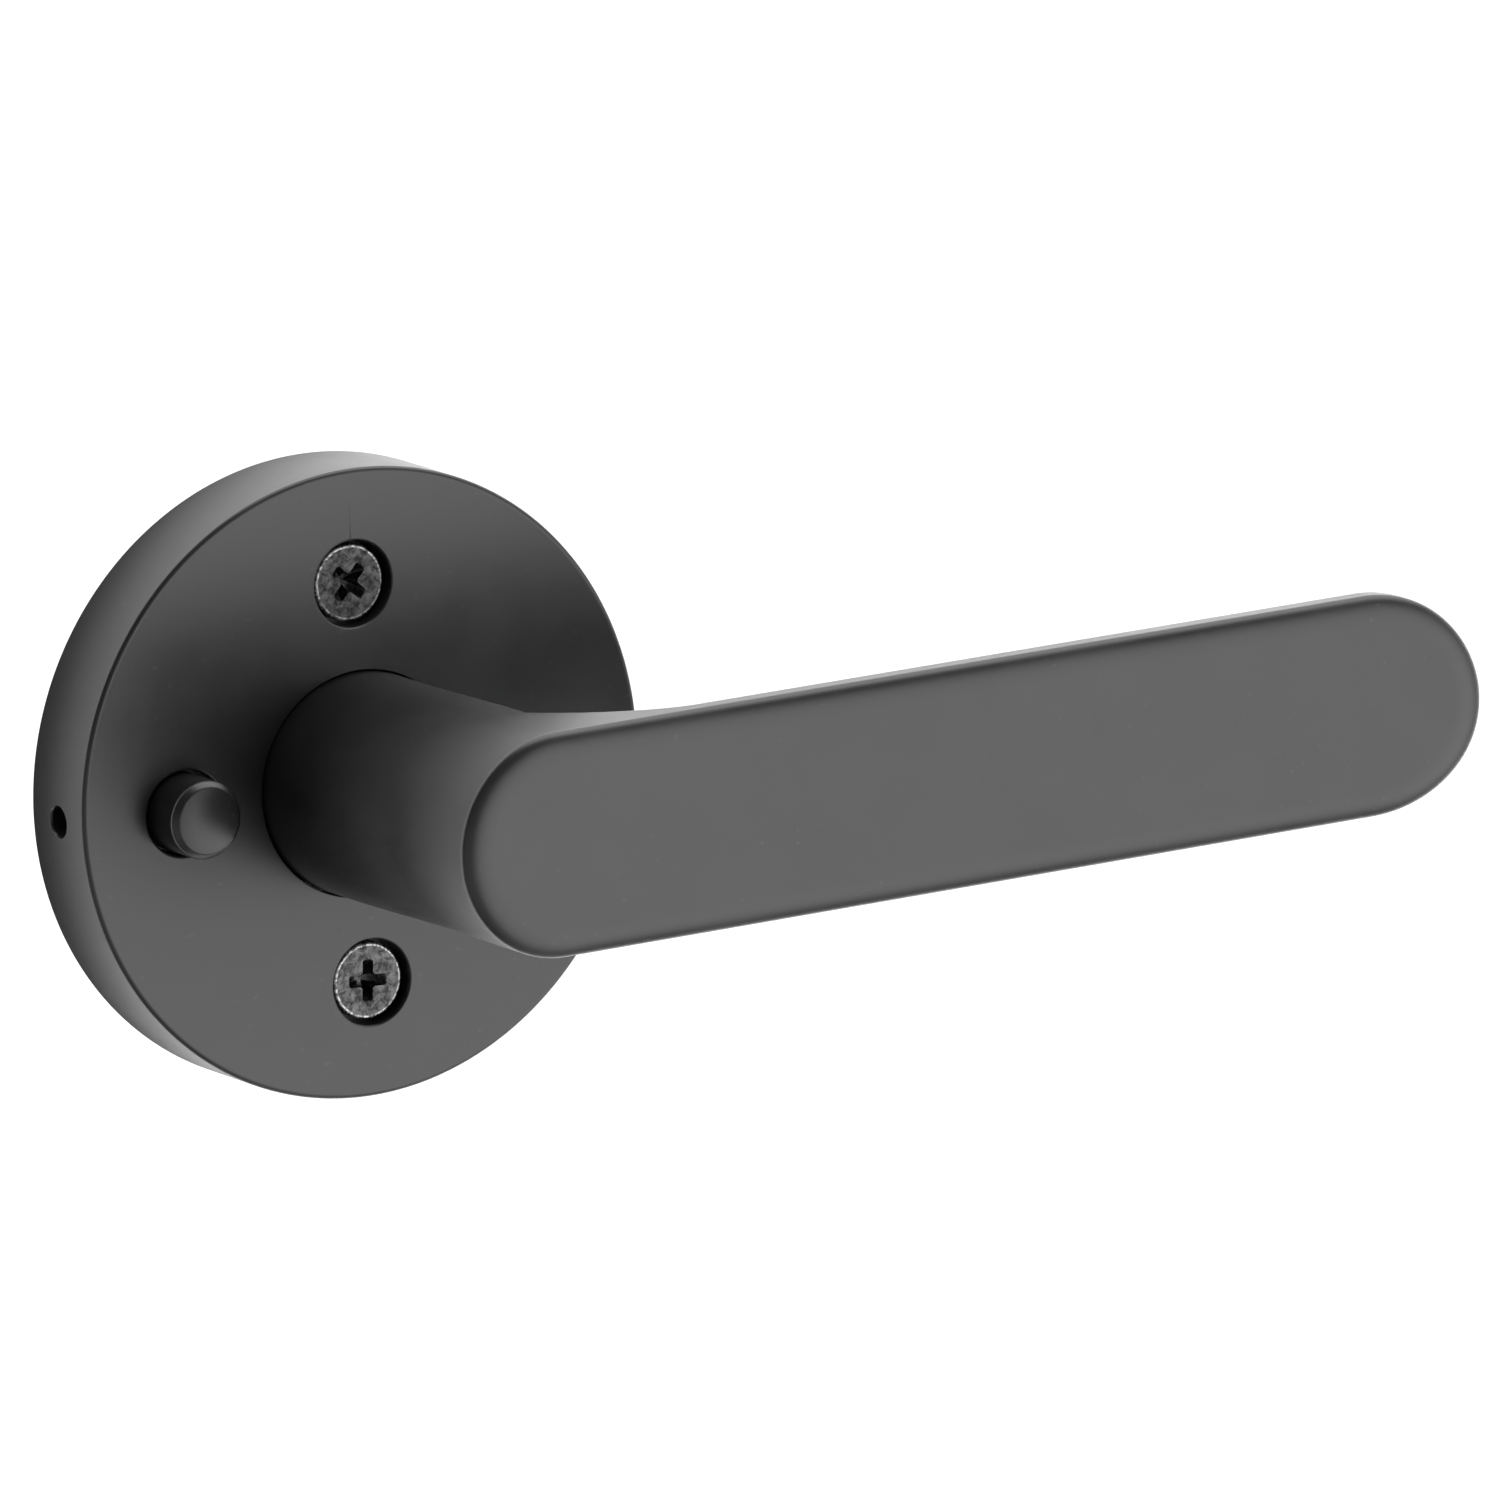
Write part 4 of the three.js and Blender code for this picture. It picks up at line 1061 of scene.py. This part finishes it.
def surround():
    """A dark room with large soft lights in front of the handle and a paler end behind it."""
    world = bpy.data.worlds.new("studio")
    bpy.context.scene.world = world
    world.use_nodes = True
    tree = world.node_tree
    background = tree.nodes["Background"]
    background.inputs["Color"].default_value = (1, 1, 1, 1)
    where = tree.nodes.new("ShaderNodeTexCoord").outputs["Generated"]
    total = tree.nodes.new("ShaderNodeValue").outputs[0]
    total.default_value = AMBIENT
    for way, inner, outer, strength in LOBES:
        along = tree.nodes.new("ShaderNodeVectorMath")
        along.operation = "DOT_PRODUCT"
        along.inputs[1].default_value = Vector(way).normalized()
        tree.links.new(where, along.inputs[0])
        lobe = tree.nodes.new("ShaderNodeMapRange")
        lobe.interpolation_type = "SMOOTHSTEP"
        limits = (math.cos(math.radians(outer)), math.cos(math.radians(inner)), 0.0, strength)
        for socket, number in zip(list(lobe.inputs)[1:5], limits):
            socket.default_value = number
        tree.links.new(along.outputs["Value"], lobe.inputs["Value"])
        both = tree.nodes.new("ShaderNodeMath")
        tree.links.new(total, both.inputs[0])
        tree.links.new(lobe.outputs["Result"], both.inputs[1])
        total = both.outputs[0]
    tree.links.new(total, background.inputs["Strength"])


def sheet(name, shape, tone, glow=0.0):
    """A large matt surface, part of the stage and not of the handle. Lengths in metres."""
    mesh = bpy.data.meshes.new(name)
    mesh.from_pydata(shape[0], [], shape[1])
    thing = bpy.data.objects.new(name, mesh)
    bpy.context.scene.collection.objects.link(thing)
    f = Finish(name, Roughness=0.9)
    mottle = f.spread(f.noise(400.0, 2.0), 0.3, 0.7)
    f.set("Base Color", f.mix(mottle, (tone - 0.01,) * 3, (tone + 0.01,) * 3))
    f.shader.inputs["Specular IOR Level"].default_value = 0.0
    f.shader.inputs["Emission Color"].default_value = (1, 1, 1, 1)
    f.shader.inputs["Emission Strength"].default_value = glow
    mesh.materials.append(f.material)
    return thing


def soft_box(name, place, aim, size, power):
    """A square light that lights the handle and is not seen in its reflections."""
    light = bpy.data.lights.new(name, "AREA")
    light.size = size
    light.energy = power
    lamp = bpy.data.objects.new(name, light)
    bpy.context.scene.collection.objects.link(lamp)
    lamp.location = place
    lamp.rotation_euler = (Vector(aim) - Vector(place)).to_track_quat("-Z", "Y").to_euler()
    lamp.visible_glossy = False


def studio():
    """A pale floor that curves up into a pale surround, a panel round the rose that only
    reflections see, and the lights."""
    surround()
    sides = 64
    verts, faces = lathe(ROOM, sides)
    room = sheet("floor", ([(x, z, -y - FLOOR_DROP) for x, y, z in verts], faces), 0.3, 0.72)
    room.visible_glossy = room.visible_diffuse = room.visible_shadow = False
    verts = []
    for y, radius in ((0, ROSE_RADIUS * MM), (0, 1.5)):
        ring = [polar(radius, a) for a in np.linspace(0, 2 * math.pi, sides, False)]
        verts += [(x, y, z) for x, z in ring]
    rings = [list(range(sides)), list(range(sides, 2 * sides))]
    panel = sheet("panel", (verts, skin([rings], sides)), 0.9)
    panel.visible_camera = panel.visible_diffuse = panel.visible_shadow = False
    soft_box("key", (0.75, -1.35, -0.02), (0, 0, 0), 1.0, 40)
    soft_box("sky", (0, 0.5, 3.0), (0, 0.5, 0), 6.0, 200)


def place_camera():
    yaw, pitch, roll = (math.radians(a) for a in CAMERA_ANGLES)
    ahead = Vector((math.sin(yaw) * math.cos(pitch), math.cos(yaw) * math.cos(pitch), -math.sin(pitch)))
    right = ahead.cross(Vector((0, 0, 1))).normalized()
    up = right.cross(ahead)
    turned_right = right * math.cos(roll) + up * math.sin(roll)
    turned_up = up * math.cos(roll) - right * math.sin(roll)
    camera = bpy.data.objects.new("camera", bpy.data.cameras.new("camera"))
    bpy.context.scene.collection.objects.link(camera)
    camera.data.sensor_width = 36
    camera.data.lens = CAMERA_LENS
    camera.data.clip_end = 200
    turning = Matrix((turned_right, turned_up, -ahead)).transposed().to_4x4()
    camera.matrix_world = Matrix.Translation(CAMERA_PLACE) @ turning
    bpy.context.scene.camera = camera
    bpy.context.scene.view_settings.view_transform = "Standard"


build()
studio()
place_camera()
